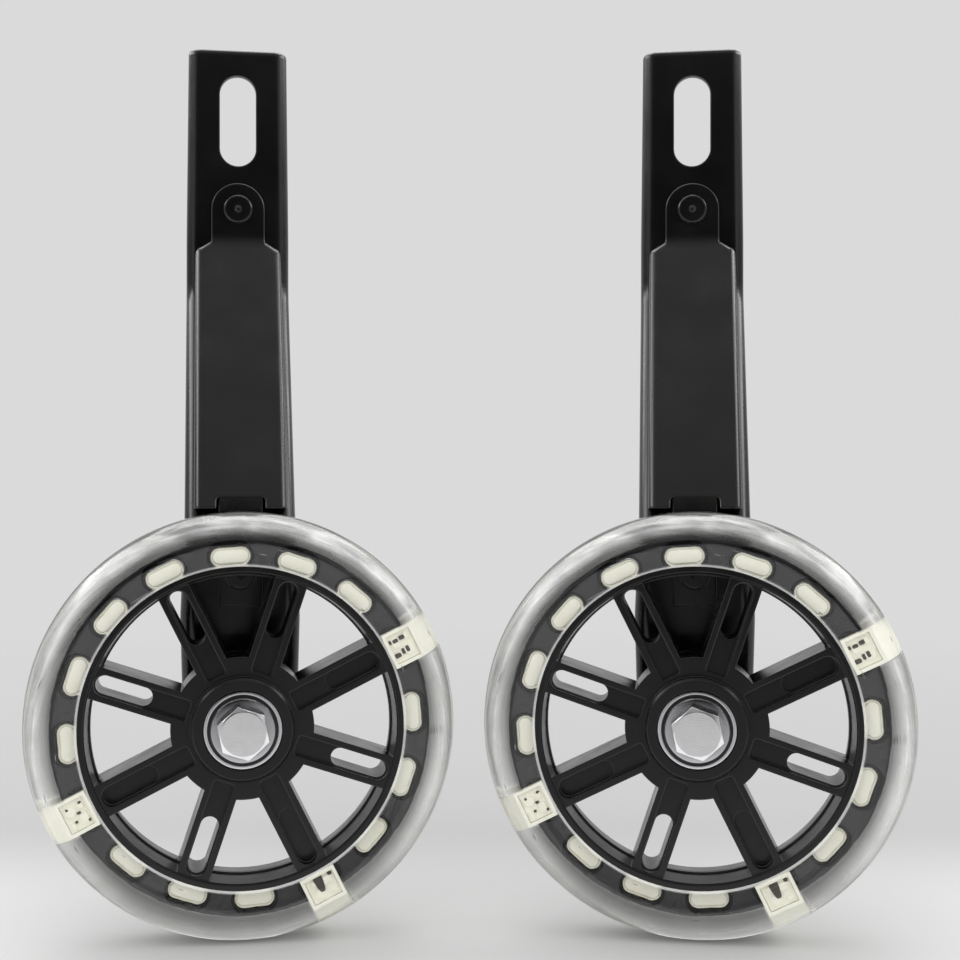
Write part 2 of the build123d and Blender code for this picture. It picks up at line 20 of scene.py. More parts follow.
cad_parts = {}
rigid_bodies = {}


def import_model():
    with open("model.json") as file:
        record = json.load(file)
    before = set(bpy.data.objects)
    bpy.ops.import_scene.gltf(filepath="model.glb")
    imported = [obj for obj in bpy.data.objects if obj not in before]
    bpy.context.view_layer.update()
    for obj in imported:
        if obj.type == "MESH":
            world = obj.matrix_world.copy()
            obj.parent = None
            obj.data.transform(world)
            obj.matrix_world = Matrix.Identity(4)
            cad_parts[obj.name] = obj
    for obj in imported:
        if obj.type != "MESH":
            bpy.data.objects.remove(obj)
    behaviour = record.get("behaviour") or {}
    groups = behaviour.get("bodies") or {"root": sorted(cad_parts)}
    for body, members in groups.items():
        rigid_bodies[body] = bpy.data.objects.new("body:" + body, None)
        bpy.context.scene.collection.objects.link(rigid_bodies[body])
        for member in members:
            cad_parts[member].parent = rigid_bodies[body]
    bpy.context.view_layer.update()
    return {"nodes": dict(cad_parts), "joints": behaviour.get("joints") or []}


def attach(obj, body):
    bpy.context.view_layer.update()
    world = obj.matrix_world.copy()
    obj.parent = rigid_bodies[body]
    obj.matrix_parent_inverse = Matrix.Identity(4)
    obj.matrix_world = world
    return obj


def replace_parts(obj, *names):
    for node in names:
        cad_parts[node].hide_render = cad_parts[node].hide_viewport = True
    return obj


Point = tuple[float, float, float]
Pair = tuple[float, float]
Outline = list[Pair]
Stops = tuple[tuple[float, str], ...]
Inputs = dict[str | int, Any]
Socket = bpy.types.NodeSocket
Material = bpy.types.Material

LOG = logging.getLogger("training_wheels")
MM = 0.001

# The places for windows round a wheel's flange, the first one's angle in degrees, and the places that
# hold a light.
WINDOWS = 16
FIRST_WINDOW = 26.5
LIGHT_WINDOWS = (0, 8, 12)

# Where Blender's colour mix has its factor, its two colours and its result. Sockets of its other kinds
# have the same names.
MIX_FACTOR, MIX_FROM, MIX_TO, MIX_OUT = 0, 6, 7, 2

# The range that most of a noise pattern's values lie in, and a mask's values turned round.
NOISE = {"From Min": 0.3, "From Max": 0.7}
FALLING = {"To Min": 1.0, "To Max": 0.0}


class Side(Enum):
    """The two units of the pair, as the camera sees them."""

    LEFT = "left"
    RIGHT = "right"


class Module(Enum):
    """The three light modules of a wheel, by what their boards carry."""

    DRIVER = 1
    LAMPS = 2
    SWITCH = 3


def linear(code: str) -> tuple[float, float, float, float]:
    """Turns an sRGB hex value into the linear colour that the shaders use, by the sRGB standard's curve.

    Args:
        code: The colour as #rrggbb.

    Returns:
        Red, green, blue and a full alpha, in linear light.
    """
    parts = [int(code[k : k + 2], 16) / 255 for k in (1, 3, 5)]
    red, green, blue = (c / 12.92 if c <= 0.04045 else ((c + 0.055) / 1.055) ** 2.4 for c in parts)
    return red, green, blue, 1.0


def add_node(
    tree: bpy.types.NodeTree,
    kind: str,
    inputs: Inputs | None = None,
    out: str | int | None = None,
    **settings: Any,
) -> Any:
    """Adds a node, sets it up and links it.

    Args:
        tree: The node tree that gets the node.
        kind: The node's Blender type.
        inputs: A value or an output socket for each input, by name or place.
        out: The output that is wanted, by name or place. None for the node itself.
        settings: The node's own properties. stops is a colour ramp's list of (place, hex) pairs.

    Returns:
        The output socket that was asked for, or the node.
    """
    node = tree.nodes.new(kind)
    for place, code in settings.pop("stops", []):
        ramp = node.color_ramp.elements
        stop = ramp[0] if place == 0 else ramp[len(ramp) - 1] if place == 1 else ramp.new(place)
        stop.color = linear(code)
    for name, value in settings.items():
        setattr(node, name, value)
    for name, value in (inputs or {}).items():
        if isinstance(value, Socket):
            tree.links.new(value, node.inputs[name])
        else:
            node.inputs[name].default_value = value
    return node if out is None else node.outputs[out]


@dataclass(frozen=True)
class UnitFrame:
    """Where one unit's axle is and which way it faces, taken from its wheel's joint."""

    side: Side
    axle: Point
    turn: float

    @property
    def matrix(self) -> Matrix:
        """From the unit's own millimetres to the row frame's metres."""
        return Matrix.Translation(self.axle) @ Matrix.Rotation(self.turn, 4, "Z") @ Matrix.Scale(MM, 4)

    @property
    def wheel(self) -> str:
        """The name of the body that turns on the axle."""
        return f"{self.side.value}_wheel"

    def node(self, name: str) -> str:
        """The full name of one of this unit's solids or pieces."""
        return f"{self.side.value}_{name}"

    def on_wheel(self, angle: float, radius: float, across: float, y: float) -> Vector:
        """A place on the wheel, in the row frame.

        Args:
            angle: The spoke direction it is measured along, in degrees, counter-clockwise as the bolt's
                head is seen.
            radius: How far out along that direction, in millimetres.
            across: How far to the left of it, in millimetres.
            y: How far back along the axle, in millimetres.

        Returns:
            The place in metres.
        """
        c, s = math.cos(math.radians(angle)), math.sin(math.radians(angle))
        return self.matrix @ Vector((radius * c - across * s, y, radius * s + across * c))


class Finish:
    """A finish on its own material, with the node patterns that several finishes share."""

    # The share of a speck's radius that is solid, and how far a rounded surface's direction agrees with
    # the flat one's at a full edge and on flat ground.
    SPECK_CORE = 0.6
    EDGE_BEND = (0.8, 0.995)

    def __init__(self, name: str) -> None:
        """Starts an empty material.

        Args:
            name: The material's name, for the real material and its process.
        """
        self.material = bpy.data.materials.new(name)
        self.material.use_nodes = True
        self.tree = self.material.node_tree
        self.tree.nodes.clear()

    def add(
        self, kind: str, inputs: Inputs | None = None, out: str | int | None = None, **settings: Any
    ) -> Any:
        """Adds a node to this finish, as add_node does."""
        return add_node(self.tree, kind, inputs, out, **settings)

    def millimetres(self, unit: UnitFrame | None = None) -> Socket:
        """Surface places in millimetres, in the row frame or in a unit's own frame.

        Args:
            unit: The unit whose axle is the origin, with its axis along Y. None for the row frame.

        Returns:
            The socket that carries the place.
        """
        place = self.add("ShaderNodeTexCoord", out="Object")
        at = unit.axle if unit else (0, 0, 0)
        turn = (0, 0, unit.turn) if unit else (0, 0, 0)
        inputs = {"Vector": place, "Location": at, "Rotation": turn, "Scale": (MM, MM, MM)}
        return self.add("ShaderNodeMapping", inputs, "Vector", vector_type="TEXTURE")

    def round_axle(self, place: Socket, run: float = 1.0) -> tuple[Socket, Socket]:
        """The distance from a unit's axle, and places that a pattern can follow in streaks round it.

        Args:
            place: Places in millimetres in the unit's own frame.
            run: The pattern's own circle round the axle, as a radius in millimetres. A small one makes
                long streaks.

        Returns:
            The radius in millimetres, and the streaks' places.
        """
        axes = self.add("ShaderNodeSeparateXYZ", {"Vector": place})
        flat = self.add("ShaderNodeCombineXYZ", {"X": axes.outputs["X"], "Z": axes.outputs["Z"]}, 0)
        radius = self.add("ShaderNodeVectorMath", {0: flat}, "Value", operation="LENGTH")
        around = self.add("ShaderNodeVectorMath", {0: flat}, "Vector", operation="NORMALIZE")
        long = self.add("ShaderNodeVectorMath", {0: around, "Scale": run}, "Vector", operation="SCALE")
        across = self.add("ShaderNodeCombineXYZ", {"X": radius, "Y": axes.outputs["Y"], "Z": radius}, 0)
        return radius, self.add("ShaderNodeVectorMath", {0: long, 1: across}, "Vector")

    def specks(self, place: Socket, spacing: float, size: float, share: float) -> Socket:
        """Sparse round specks.

        Args:
            place: Places in millimetres.
            spacing: The distance between the cells that may hold a speck, in millimetres.
            size: A speck's radius in millimetres.
            share: The share of the cells that hold one.

        Returns:
            1 in a speck and 0 outside.
        """
        cells = self.add("ShaderNodeTexVoronoi", {"Vector": place, "Scale": 1 / spacing})
        edge = {"From Min": self.SPECK_CORE * size / spacing, "From Max": size / spacing, **FALLING}
        near = self.add("ShaderNodeMapRange", {"Value": cells.outputs["Distance"], **edge}, "Result")
        pick = self.add("ShaderNodeSeparateColor", {"Color": cells.outputs["Color"]}, 0)
        held = self.add("ShaderNodeMath", {0: pick, 1: share}, 0, operation="LESS_THAN")
        return self.add("ShaderNodeMath", {0: near, 1: held}, 0, operation="MULTIPLY")

    def edge_mask(self, rounded: Socket) -> Socket:
        """How near a surface place is to an edge, from the direction of the rounded surface.

        Args:
            rounded: The surface direction with its edges rounded off.

        Returns:
            1 at an edge and 0 on flat ground.
        """
        plain = self.add("ShaderNodeNewGeometry", out="Normal")
        same = {0: rounded, 1: plain}
        same = self.add("ShaderNodeVectorMath", same, "Value", operation="DOT_PRODUCT")
        span = {"From Min": self.EDGE_BEND[0], "From Max": self.EDGE_BEND[1], **FALLING}
        return self.add("ShaderNodeMapRange", {"Value": same, **span}, "Result")


@dataclass(frozen=True)
class SatinBlackPaint:
    """Stoved black paint on pressed steel: deep black, a satin gloss, slight orange peel, soft edges.

    Pattern sizes are in millimetres, and the roughness goes from the glossiest to the dullest place.
    """

    colour: str = "#060606"
    cloudy: str = "#0b0b0a"
    # The edges' colour: thinner paint, and a painted highlight.
    worn: str = "#383836"
    dust: str = "#6a6a66"
    roughness: Pair = (0.19, 0.29)
    ior: float = 1.5
    edge: float = 0.9
    cloud_size: float = 16.0
    peel_size: float = 1.3
    peel_depth: float = 0.006
    dust_spacing: float = 7.0
    dust_r: float = 0.16
    dust_share: float = 0.35

    def build(self) -> Material:
        """Makes the material.

        Returns:
            The material.
        """
        finish = Finish("black_stoved_paint_on_steel")
        place = finish.millimetres()
        cloud = {"Vector": place, "Scale": 1 / self.cloud_size, "Detail": 3.0}
        cloud = finish.add("ShaderNodeTexNoise", cloud, "Fac")
        stops = [(0, self.colour), (1, self.cloudy)]
        ground = finish.add("ShaderNodeValToRGB", {"Fac": cloud}, "Color", stops=stops)
        # The paint draws back from sharp edges, so they look soft. Their lighter colour is partly thinner
        # paint and partly a painted highlight along the edges.
        rounded = finish.add("ShaderNodeBevel", {"Radius": self.edge * MM}, "Normal", samples=16)
        mix = {MIX_FACTOR: finish.edge_mask(rounded), MIX_FROM: ground, MIX_TO: linear(self.worn)}
        ground = finish.add("ShaderNodeMix", mix, MIX_OUT, data_type="RGBA")
        dust = finish.specks(place, self.dust_spacing, self.dust_r, self.dust_share)
        mix = {MIX_FACTOR: dust, MIX_FROM: ground, MIX_TO: linear(self.dust)}
        ground = finish.add("ShaderNodeMix", mix, MIX_OUT, data_type="RGBA")
        span = NOISE | {"To Min": self.roughness[0], "To Max": self.roughness[1]}
        gloss = finish.add("ShaderNodeMapRange", {"Value": cloud, **span}, "Result")
        peel = {"Vector": place, "Scale": 1 / self.peel_size, "Detail": 1.0}
        peel = finish.add("ShaderNodeTexNoise", peel, "Fac")
        relief = {"Height": peel, "Distance": self.peel_depth * MM, "Normal": rounded}
        relief = finish.add("ShaderNodeBump", relief, "Normal")
        inputs = {"Base Color": ground, "Roughness": gloss, "IOR": self.ior, "Normal": relief}
        shader = finish.add("ShaderNodeBsdfPrincipled", inputs, "BSDF")
        finish.add("ShaderNodeOutputMaterial", {"Surface": shader})
        return finish.material


@dataclass(frozen=True)
class MouldedBlackNylon:
    """Injection-moulded black nylon: near black, a soft gloss, fine grain, a greyer flange for its bond.

    Sizes are in millimetres. The flange is blasted from keyed_from outwards, but for a black margin of
    painted shade round its windows, which is measured from the line of window_reach to each side of a
    window's middle.
    """

    colour: str = "#0a0a0a"
    bloom: str = "#121212"
    # The edges' colour: wear, and a painted highlight.
    worn: str = "#343434"
    keyed: str = "#343438"
    roughness: Pair = (0.2, 0.32)
    ior: float = 1.53
    specular: float = 0.24
    edge: float = 0.5
    cloud_size: float = 9.0
    # The mould's grain is near 0.1 mm. It is drawn at 0.45 mm, the finest that shows in the render.
    grain_size: float = 0.45
    grain_depth: float = 0.007
    keyed_from: float = 45.3
    keyed_facing: float = 0.9
    window_r: float = 48.45
    window_reach: float = 3.15
    window_shade_margin: float = 3.5

    def blasted_outside_window_shade(self, finish: Finish, place: Socket, radius: Socket) -> Socket:
        """Where the flange is blasted: round its windows it keeps a black margin of painted shade, wider on
        their outer side.

        Args:
            finish: The finish that gets the nodes.
            place: Places in millimetres in the unit's own frame.
            radius: The distance from the axle in millimetres.

        Returns:
            1 on blasted ground and 0 at a window and in the painted shade round it.
        """
        axes = finish.add("ShaderNodeSeparateXYZ", {"Vector": place})
        angle = {0: axes.outputs["Z"], 1: axes.outputs["X"]}
        angle = finish.add("ShaderNodeMath", angle, 0, operation="ARCTAN2")
        half = math.pi / WINDOWS
        angle = {0: angle, 1: math.radians(FIRST_WINDOW)}
        angle = finish.add("ShaderNodeMath", angle, 0, operation="SUBTRACT")
        angle = finish.add("ShaderNodeMath", {0: angle, 1: half, 2: -half}, 0, operation="WRAP")
        across = finish.add("ShaderNodeMath", {0: angle, 1: radius}, 0, operation="MULTIPLY")
        across = finish.add("ShaderNodeMath", {0: across}, 0, operation="ABSOLUTE")
        across = finish.add("ShaderNodeMath", {0: across, 1: self.window_reach}, 0, operation="SUBTRACT")
        across = finish.add("ShaderNodeMath", {0: across, 1: 0.0}, 0, operation="MAXIMUM")
        out = finish.add("ShaderNodeMath", {0: radius, 1: self.window_r}, 0, operation="SUBTRACT")
        off = finish.add("ShaderNodeCombineXYZ", {"X": across, "Y": out}, 0)
        off = finish.add("ShaderNodeVectorMath", {0: off}, "Value", operation="LENGTH")
        return finish.add("ShaderNodeMath", {0: off, 1: self.window_shade_margin}, 0, operation="GREATER_THAN")

    def build(self, unit: UnitFrame) -> Material:
        """Makes the material for one unit's wheel core.

        Args:
            unit: The unit, whose flange lies round its axle.

        Returns:
            The material.
        """
        finish = Finish(f"black_moulded_nylon_{unit.side.value}")
        place = finish.millimetres(unit)
        cloud = {"Vector": place, "Scale": 1 / self.cloud_size, "Detail": 3.0}
        cloud = finish.add("ShaderNodeTexNoise", cloud, "Fac")
        stops = [(0, self.colour), (1, self.bloom)]
        ground = finish.add("ShaderNodeValToRGB", {"Fac": cloud}, "Color", stops=stops)
        rounded = finish.add("ShaderNodeBevel", {"Radius": self.edge * MM}, "Normal", samples=8)
        # Edges are lighter: partly wear and partly a painted highlight.
        mix = {MIX_FACTOR: finish.edge_mask(rounded), MIX_FROM: ground, MIX_TO: linear(self.worn)}
        ground = finish.add("ShaderNodeMix", mix, MIX_OUT, data_type="RGBA")
        # Only the flange's two flat sides are blasted for the bond, so the windows' walls stay black.
        radius, _ = finish.round_axle(place)
        outside = {0: radius, 1: self.keyed_from}
        outside = finish.add("ShaderNodeMath", outside, 0, operation="GREATER_THAN")
        axis = (-math.sin(unit.turn), math.cos(unit.turn), 0.0)
        facing = {0: finish.add("ShaderNodeNewGeometry", out="Normal"), 1: axis}
        facing = finish.add("ShaderNodeVectorMath", facing, "Value", operation="DOT_PRODUCT")
        facing = finish.add("ShaderNodeMath", {0: facing}, 0, operation="ABSOLUTE")
        flat = finish.add("ShaderNodeMath", {0: facing, 1: outside}, 0, operation="MULTIPLY")
        flat = finish.add("ShaderNodeMath", {0: flat, 1: self.keyed_facing}, 0, operation="GREATER_THAN")
        # Round each window the flange keeps a black margin of painted shade.
        apart = self.blasted_outside_window_shade(finish, place, radius)
        flat = finish.add("ShaderNodeMath", {0: flat, 1: apart}, 0, operation="MULTIPLY")
        mix = {MIX_FACTOR: flat, MIX_FROM: ground, MIX_TO: linear(self.keyed)}
        ground = finish.add("ShaderNodeMix", mix, MIX_OUT, data_type="RGBA")
        span = NOISE | {"To Min": self.roughness[0], "To Max": self.roughness[1]}
        gloss = finish.add("ShaderNodeMapRange", {"Value": cloud, **span}, "Result")
        grain = {"Vector": place, "Scale": 1 / self.grain_size, "Detail": 1.0}
        grain = finish.add("ShaderNodeTexNoise", grain, "Fac")
        relief = {"Height": grain, "Distance": self.grain_depth * MM, "Normal": rounded}
        inputs = {
            "Base Color": ground,
            "Roughness": gloss,
            "IOR": self.ior,
            "Specular IOR Level": self.specular,
            "Normal": finish.add("ShaderNodeBump", relief, "Normal"),
        }
        shader = finish.add("ShaderNodeBsdfPrincipled", inputs, "BSDF")
        finish.add("ShaderNodeOutputMaterial", {"Surface": shader})
        return finish.material


@dataclass(frozen=True)
class CastClearPolyurethane:
    """Cast clear polyurethane: clear over the flange, hazy and streaked on its tread, a painted white
    highlight at its bead.

    Sizes are in millimetres. Colour stops go from inner_r at 0 to outer_r at 1. Heights are shares of
    the radius, from -1 at the wheel's lowest place to 1 at its highest one.
    """

    scuff: str = "#4c4b48"
    shade: str = "#f4f4f0"
    tread_shade: str = "#989896"
    tread_shade_span: Pair = (0.8, 0.95)
    skin: str = "#fafaf6"
    depth_tint: Point = (0.97, 0.965, 0.93)
    depth_density: float = 10.0
    ior: float = 1.5
    roughness: Pair = (0.03, 0.22)
    full_haze: float = 0.4
    inner_r: float = 45.0
    outer_r: float = 60.0

    bead_stops: Stops = ((0, "#fefefb"), (0.385, "#fcfcf9"), (0.425, "#626262"))
    # The flange's painted reflection, as a narrow dark ring.
    painted_reflection_stops: Stops = ((0.48, "#6c6c6c"), (0.56, "#b6b6b4"), (0.66, "#ececea"), (0.76, "#ffffff"))
    # The same painted reflection with painted shade, broad low down on the wheel.
    painted_reflection_shade_stops: Stops = ((0.5, "#5e5e5e"), (0.62, "#888886"), (0.74, "#bcbcba"), (0.84, "#d8d8d4"))
    tread_stops: Stops = ((0.9, "#e4e4e0"), (0.955, "#b4b4b0"), (1, "#868682"))
    painted_shade_below: Pair = (-0.4, -0.9)

    frost_stops: Stops = (
        (0, "#080808"),
        (0.45, "#141414"),
        (0.6, "#666666"),
        (0.75, "#b4b4b4"),
        (0.9, "#a0a0a0"),
        (1, "#606060"),
    )
    painted_light_top_span: Pair = (0.2, 0.9)
    painted_light_top_haze: float = 1.35

    streak_run: float = 9.0
    streak_size: float = 1.8
    smear_size: float = 11.0
    worn_from: Pair = (0.16, 0.38)
    least_worn: float = 0.4
    ripple_depth: float = 0.08
    ripple: float = 0.9
    dirt_spacing: float = 2.6
    dirt_r: float = 0.22
    dirt_share: float = 0.7

    # The bead's thin white line is a painted highlight.
    bead_highlight_from: float = 45.7
    bead_highlight_to: float = 45.2
    bead_painted_highlight: float = 0.5
    light_half: float = 4.9
    light_soft: float = 0.8
    light_haze: float = 0.35

    def over_lights(self, finish: Finish, place: Socket) -> Socket:
        """Where the tyre is only a thin skin over a light module.

        Two of the modules lie on one line through the axle. The third lies on the line across it, on one
        side.

        Args:
            finish: The finish that gets the nodes.
            place: Places in millimetres in the unit's own frame.

        Returns:
            1 over a module and 0 elsewhere.
        """
        c, s = math.cos(math.radians(FIRST_WINDOW)), math.sin(math.radians(FIRST_WINDOW))
        span = {"From Min": self.light_half, "From Max": self.light_half + self.light_soft, **FALLING}
        bands = []
        for line in ((-s, 0.0, c), (c, 0.0, s)):
            off = finish.add("ShaderNodeVectorMath", {0: place, 1: line}, "Value", operation="DOT_PRODUCT")
            away = finish.add("ShaderNodeMath", {0: off}, 0, operation="ABSOLUTE")
            bands.append((off, finish.add("ShaderNodeMapRange", {"Value": away, **span}, "Result")))
        (side, pair), (_, single) = bands
        below = finish.add("ShaderNodeMath", {0: side, 1: 0.0}, 0, operation="LESS_THAN")
        single = finish.add("ShaderNodeMath", {0: single, 1: below}, 0, operation="MULTIPLY")
        return finish.add("ShaderNodeMath", {0: pair, 1: single}, 0, operation="MAXIMUM")

    def tint(self, finish: Finish, outwards: Socket, height: Socket) -> Socket:
        """The resin's colour from the bead to the tread.

        The black flange's reflection in the bent shoulder is painted in as a soft dark ring, and painted
        shade makes it broad below. The tread's edge is dark too.

        Args:
            finish: The finish that gets the nodes.
            outwards: 0 at the bead and 1 at the tread.
            height: The height as a share of the radius.

        Returns:
            The colour.
        """
        stops = self.bead_stops + self.painted_reflection_stops + self.tread_stops
        narrow = finish.add("ShaderNodeValToRGB", {"Fac": outwards}, "Color", stops=stops)
        stops = self.bead_stops + self.painted_reflection_shade_stops + self.tread_stops
        broad = finish.add("ShaderNodeValToRGB", {"Fac": outwards}, "Color", stops=stops)
        # Painted shade: the dark ring is broad low down on the wheel.
        span = {"From Min": self.painted_shade_below[0], "From Max": self.painted_shade_below[1]}
        below = finish.add("ShaderNodeMapRange", {"Value": height, **span}, "Result")
        mix = {MIX_FACTOR: below, MIX_FROM: narrow, MIX_TO: broad}
        return finish.add("ShaderNodeMix", mix, MIX_OUT, data_type="RGBA")

    def haze(
        self, finish: Finish, outwards: Socket, height: Socket, worn: Socket, lights: Socket
    ) -> Socket:
        """How far the tread is frosted, as one that has rolled on the ground is, and hazier at the top as
        painted light.

        Args:
            finish: The finish that gets the nodes.
            outwards: 0 at the bead and 1 at the tread.
            height: The height as a share of the radius.
            worn: How worn a place is, from its streaks and smears.
            lights: 1 over a light module, where the skin is thin.

        Returns:
            The haze, from 0 for clear resin to 1 for white.
        """
        stops = self.frost_stops
        frost = finish.add("ShaderNodeValToRGB", {"Fac": outwards}, "Color", stops=stops)
        frost = finish.add("ShaderNodeMath", {0: frost, 1: worn}, 0, operation="MULTIPLY")
        # Painted light: the top is hazier, so that it looks whiter where light falls from above.
        span = {"From Min": self.painted_light_top_span[0], "From Max": self.painted_light_top_span[1]}
        span |= {"To Min": 1.0, "To Max": self.painted_light_top_haze}
        above = finish.add("ShaderNodeMapRange", {"Value": height, **span}, "Result")
        frost = finish.add("ShaderNodeMath", {0: frost, 1: above}, 0, operation="MULTIPLY")
        span = {"To Min": 1.0, "To Max": self.light_haze}
        thin = finish.add("ShaderNodeMapRange", {"Value": lights, **span}, "Result")
        return finish.add("ShaderNodeMath", {0: frost, 1: thin}, 0, operation="MULTIPLY")

    def build(self, unit: UnitFrame) -> Material:
        """Makes the material for one unit's tyre.

        Args:
            unit: The unit, whose axle the streaks run round.

        Returns:
            The material.
        """
        finish = Finish(f"clear_cast_polyurethane_{unit.side.value}")
        place = finish.millimetres(unit)
        radius, along = finish.round_axle(place, self.streak_run)
        span = {"From Min": self.inner_r, "From Max": self.outer_r}
        outwards = finish.add("ShaderNodeMapRange", {"Value": radius, **span}, "Result")
        height = finish.add("ShaderNodeSeparateXYZ", {"Vector": place}, "Z")
        height = finish.add("ShaderNodeMath", {0: height, 1: radius}, 0, operation="DIVIDE")
        streaks = {"Vector": along, "Scale": 1 / self.streak_size, "Detail": 3.0}
        streaks = finish.add("ShaderNodeTexNoise", streaks, "Fac")
        smears = {"Vector": place, "Scale": 1 / self.smear_size, "Detail": 4.0}
        smears = finish.add("ShaderNodeTexNoise", smears, "Fac")
        both = finish.add("ShaderNodeMath", {0: streaks, 1: smears}, 0, operation="MULTIPLY")
        span = {"From Min": self.worn_from[0], "From Max": self.worn_from[1]}
        span |= {"To Min": self.least_worn, "To Max": 1.0}
        worn = finish.add("ShaderNodeMapRange", {"Value": both, **span}, "Result")
        lights = self.over_lights(finish, place)
        ground = self.tint(finish, outwards, height)
        mix = {MIX_FACTOR: lights, MIX_FROM: ground, MIX_TO: linear(self.skin)}
        ground = finish.add("ShaderNodeMix", mix, MIX_OUT, data_type="RGBA")
        frost = self.haze(finish, outwards, height, worn, lights)
        # A thin white line at the bead is a painted highlight, drawn as haze.
        span = {"From Min": self.bead_highlight_from, "From Max": self.bead_highlight_to, "To Max": self.bead_painted_highlight}
        bond = finish.add("ShaderNodeMapRange", {"Value": radius, **span}, "Result")
        dirt = finish.specks(along, self.dirt_spacing, self.dirt_r, self.dirt_share)
        span = {"From Max": self.full_haze, "To Min": self.roughness[0], "To Max": self.roughness[1]}
        gloss = finish.add("ShaderNodeMapRange", {"Value": frost, **span}, "Result")
        gloss = finish.add("ShaderNodeMath", {0: gloss, 1: bond}, 0, operation="MAXIMUM")
        milk = finish.add("ShaderNodeMath", {0: frost, 1: bond}, 0, operation="MAXIMUM")
        milk = finish.add("ShaderNodeMath", {0: milk, 1: dirt}, 0, operation="MAXIMUM")
        mix = {MIX_FACTOR: dirt, MIX_FROM: ground, MIX_TO: linear(self.scuff)}
        ripple = {"Height": streaks, "Distance": self.ripple_depth * MM, "Strength": self.ripple}
        inputs = {
            "Base Color": finish.add("ShaderNodeMix", mix, MIX_OUT, data_type="RGBA"),
            "Roughness": gloss,
            "IOR": self.ior,
            "Transmission Weight": finish.add("ShaderNodeMath", {0: 1.0, 1: milk}, 0, operation="SUBTRACT"),
            "Normal": finish.add("ShaderNodeBump", ripple, "Normal"),
        }
        shader = finish.add("ShaderNodeBsdfPrincipled", inputs, "BSDF")
        # Light for what lies inside passes straight in, where a bent path would lose it.
        rays = finish.add("ShaderNodeLightPath").outputs
        passing = {0: rays["Is Shadow Ray"], 1: rays["Is Diffuse Ray"]}
        passing = finish.add("ShaderNodeMath", passing, 0, operation="MAXIMUM")
        light, dark = self.tread_shade_span
        stops = [(0, self.shade), (light, self.shade), (dark, self.tread_shade), (1, self.tread_shade)]
        shade = finish.add("ShaderNodeValToRGB", {"Fac": outwards}, "Color", stops=stops)
        mix = {MIX_FACTOR: lights, MIX_FROM: shade, MIX_TO: linear(self.shade)}
        shade = finish.add("ShaderNodeMix", mix, MIX_OUT, data_type="RGBA")
        open_way = finish.add("ShaderNodeBsdfTransparent", {"Color": shade}, "BSDF")
        surface = finish.add("ShaderNodeMixShader", {0: passing, 1: shader, 2: open_way}, 0)
        inputs = {"Color": (*self.depth_tint, 1.0), "Density": self.depth_density}
        depth = finish.add("ShaderNodeVolumeAbsorption", inputs, "Volume")
        finish.add("ShaderNodeOutputMaterial", {"Surface": surface, "Volume": depth})
        return finish.material


@dataclass(frozen=True)
class MouldedCreamCase:
    """Moulded cream ABS: an even warm white with a soft gloss, faint flow marks and lighter edges.

    Pattern sizes are in millimetres.
    """

    colour: str = "#eeede2"
    flow: str = "#e6e4d6"
    pale: str = "#f6f5ee"
    roughness: Pair = (0.3, 0.45)
    ior: float = 1.54
    edge: float = 0.3
    flow_size: float = 4.0
    grain_size: float = 0.5
    grain_depth: float = 0.004

    def build(self) -> Material:
        """Makes the material.

        Returns:
            The material.
        """
        finish = Finish("cream_moulded_abs")
        place = finish.millimetres()
        flow = {"Vector": place, "Scale": 1 / self.flow_size, "Detail": 3.0}
        flow = finish.add("ShaderNodeTexNoise", flow, "Fac")
        stops = [(0, self.flow), (0.45, self.colour), (1, self.pale)]
        ground = finish.add("ShaderNodeValToRGB", {"Fac": flow}, "Color", stops=stops)
        rounded = finish.add("ShaderNodeBevel", {"Radius": self.edge * MM}, "Normal", samples=6)
        mix = {MIX_FACTOR: finish.edge_mask(rounded), MIX_FROM: ground, MIX_TO: linear(self.pale)}
        ground = finish.add("ShaderNodeMix", mix, MIX_OUT, data_type="RGBA")
        span = NOISE | {"To Min": self.roughness[0], "To Max": self.roughness[1]}
        gloss = finish.add("ShaderNodeMapRange", {"Value": flow, **span}, "Result")
        grain = {"Vector": place, "Scale": 1 / self.grain_size, "Detail": 1.0}
        grain = finish.add("ShaderNodeTexNoise", grain, "Fac")
        relief = {"Height": grain, "Distance": self.grain_depth * MM, "Normal": rounded}
        relief = finish.add("ShaderNodeBump", relief, "Normal")
        inputs = {"Base Color": ground, "Roughness": gloss, "IOR": self.ior, "Normal": relief}
        shader = finish.add("ShaderNodeBsdfPrincipled", inputs, "BSDF")
        finish.add("ShaderNodeOutputMaterial", {"Surface": shader})
        return finish.material


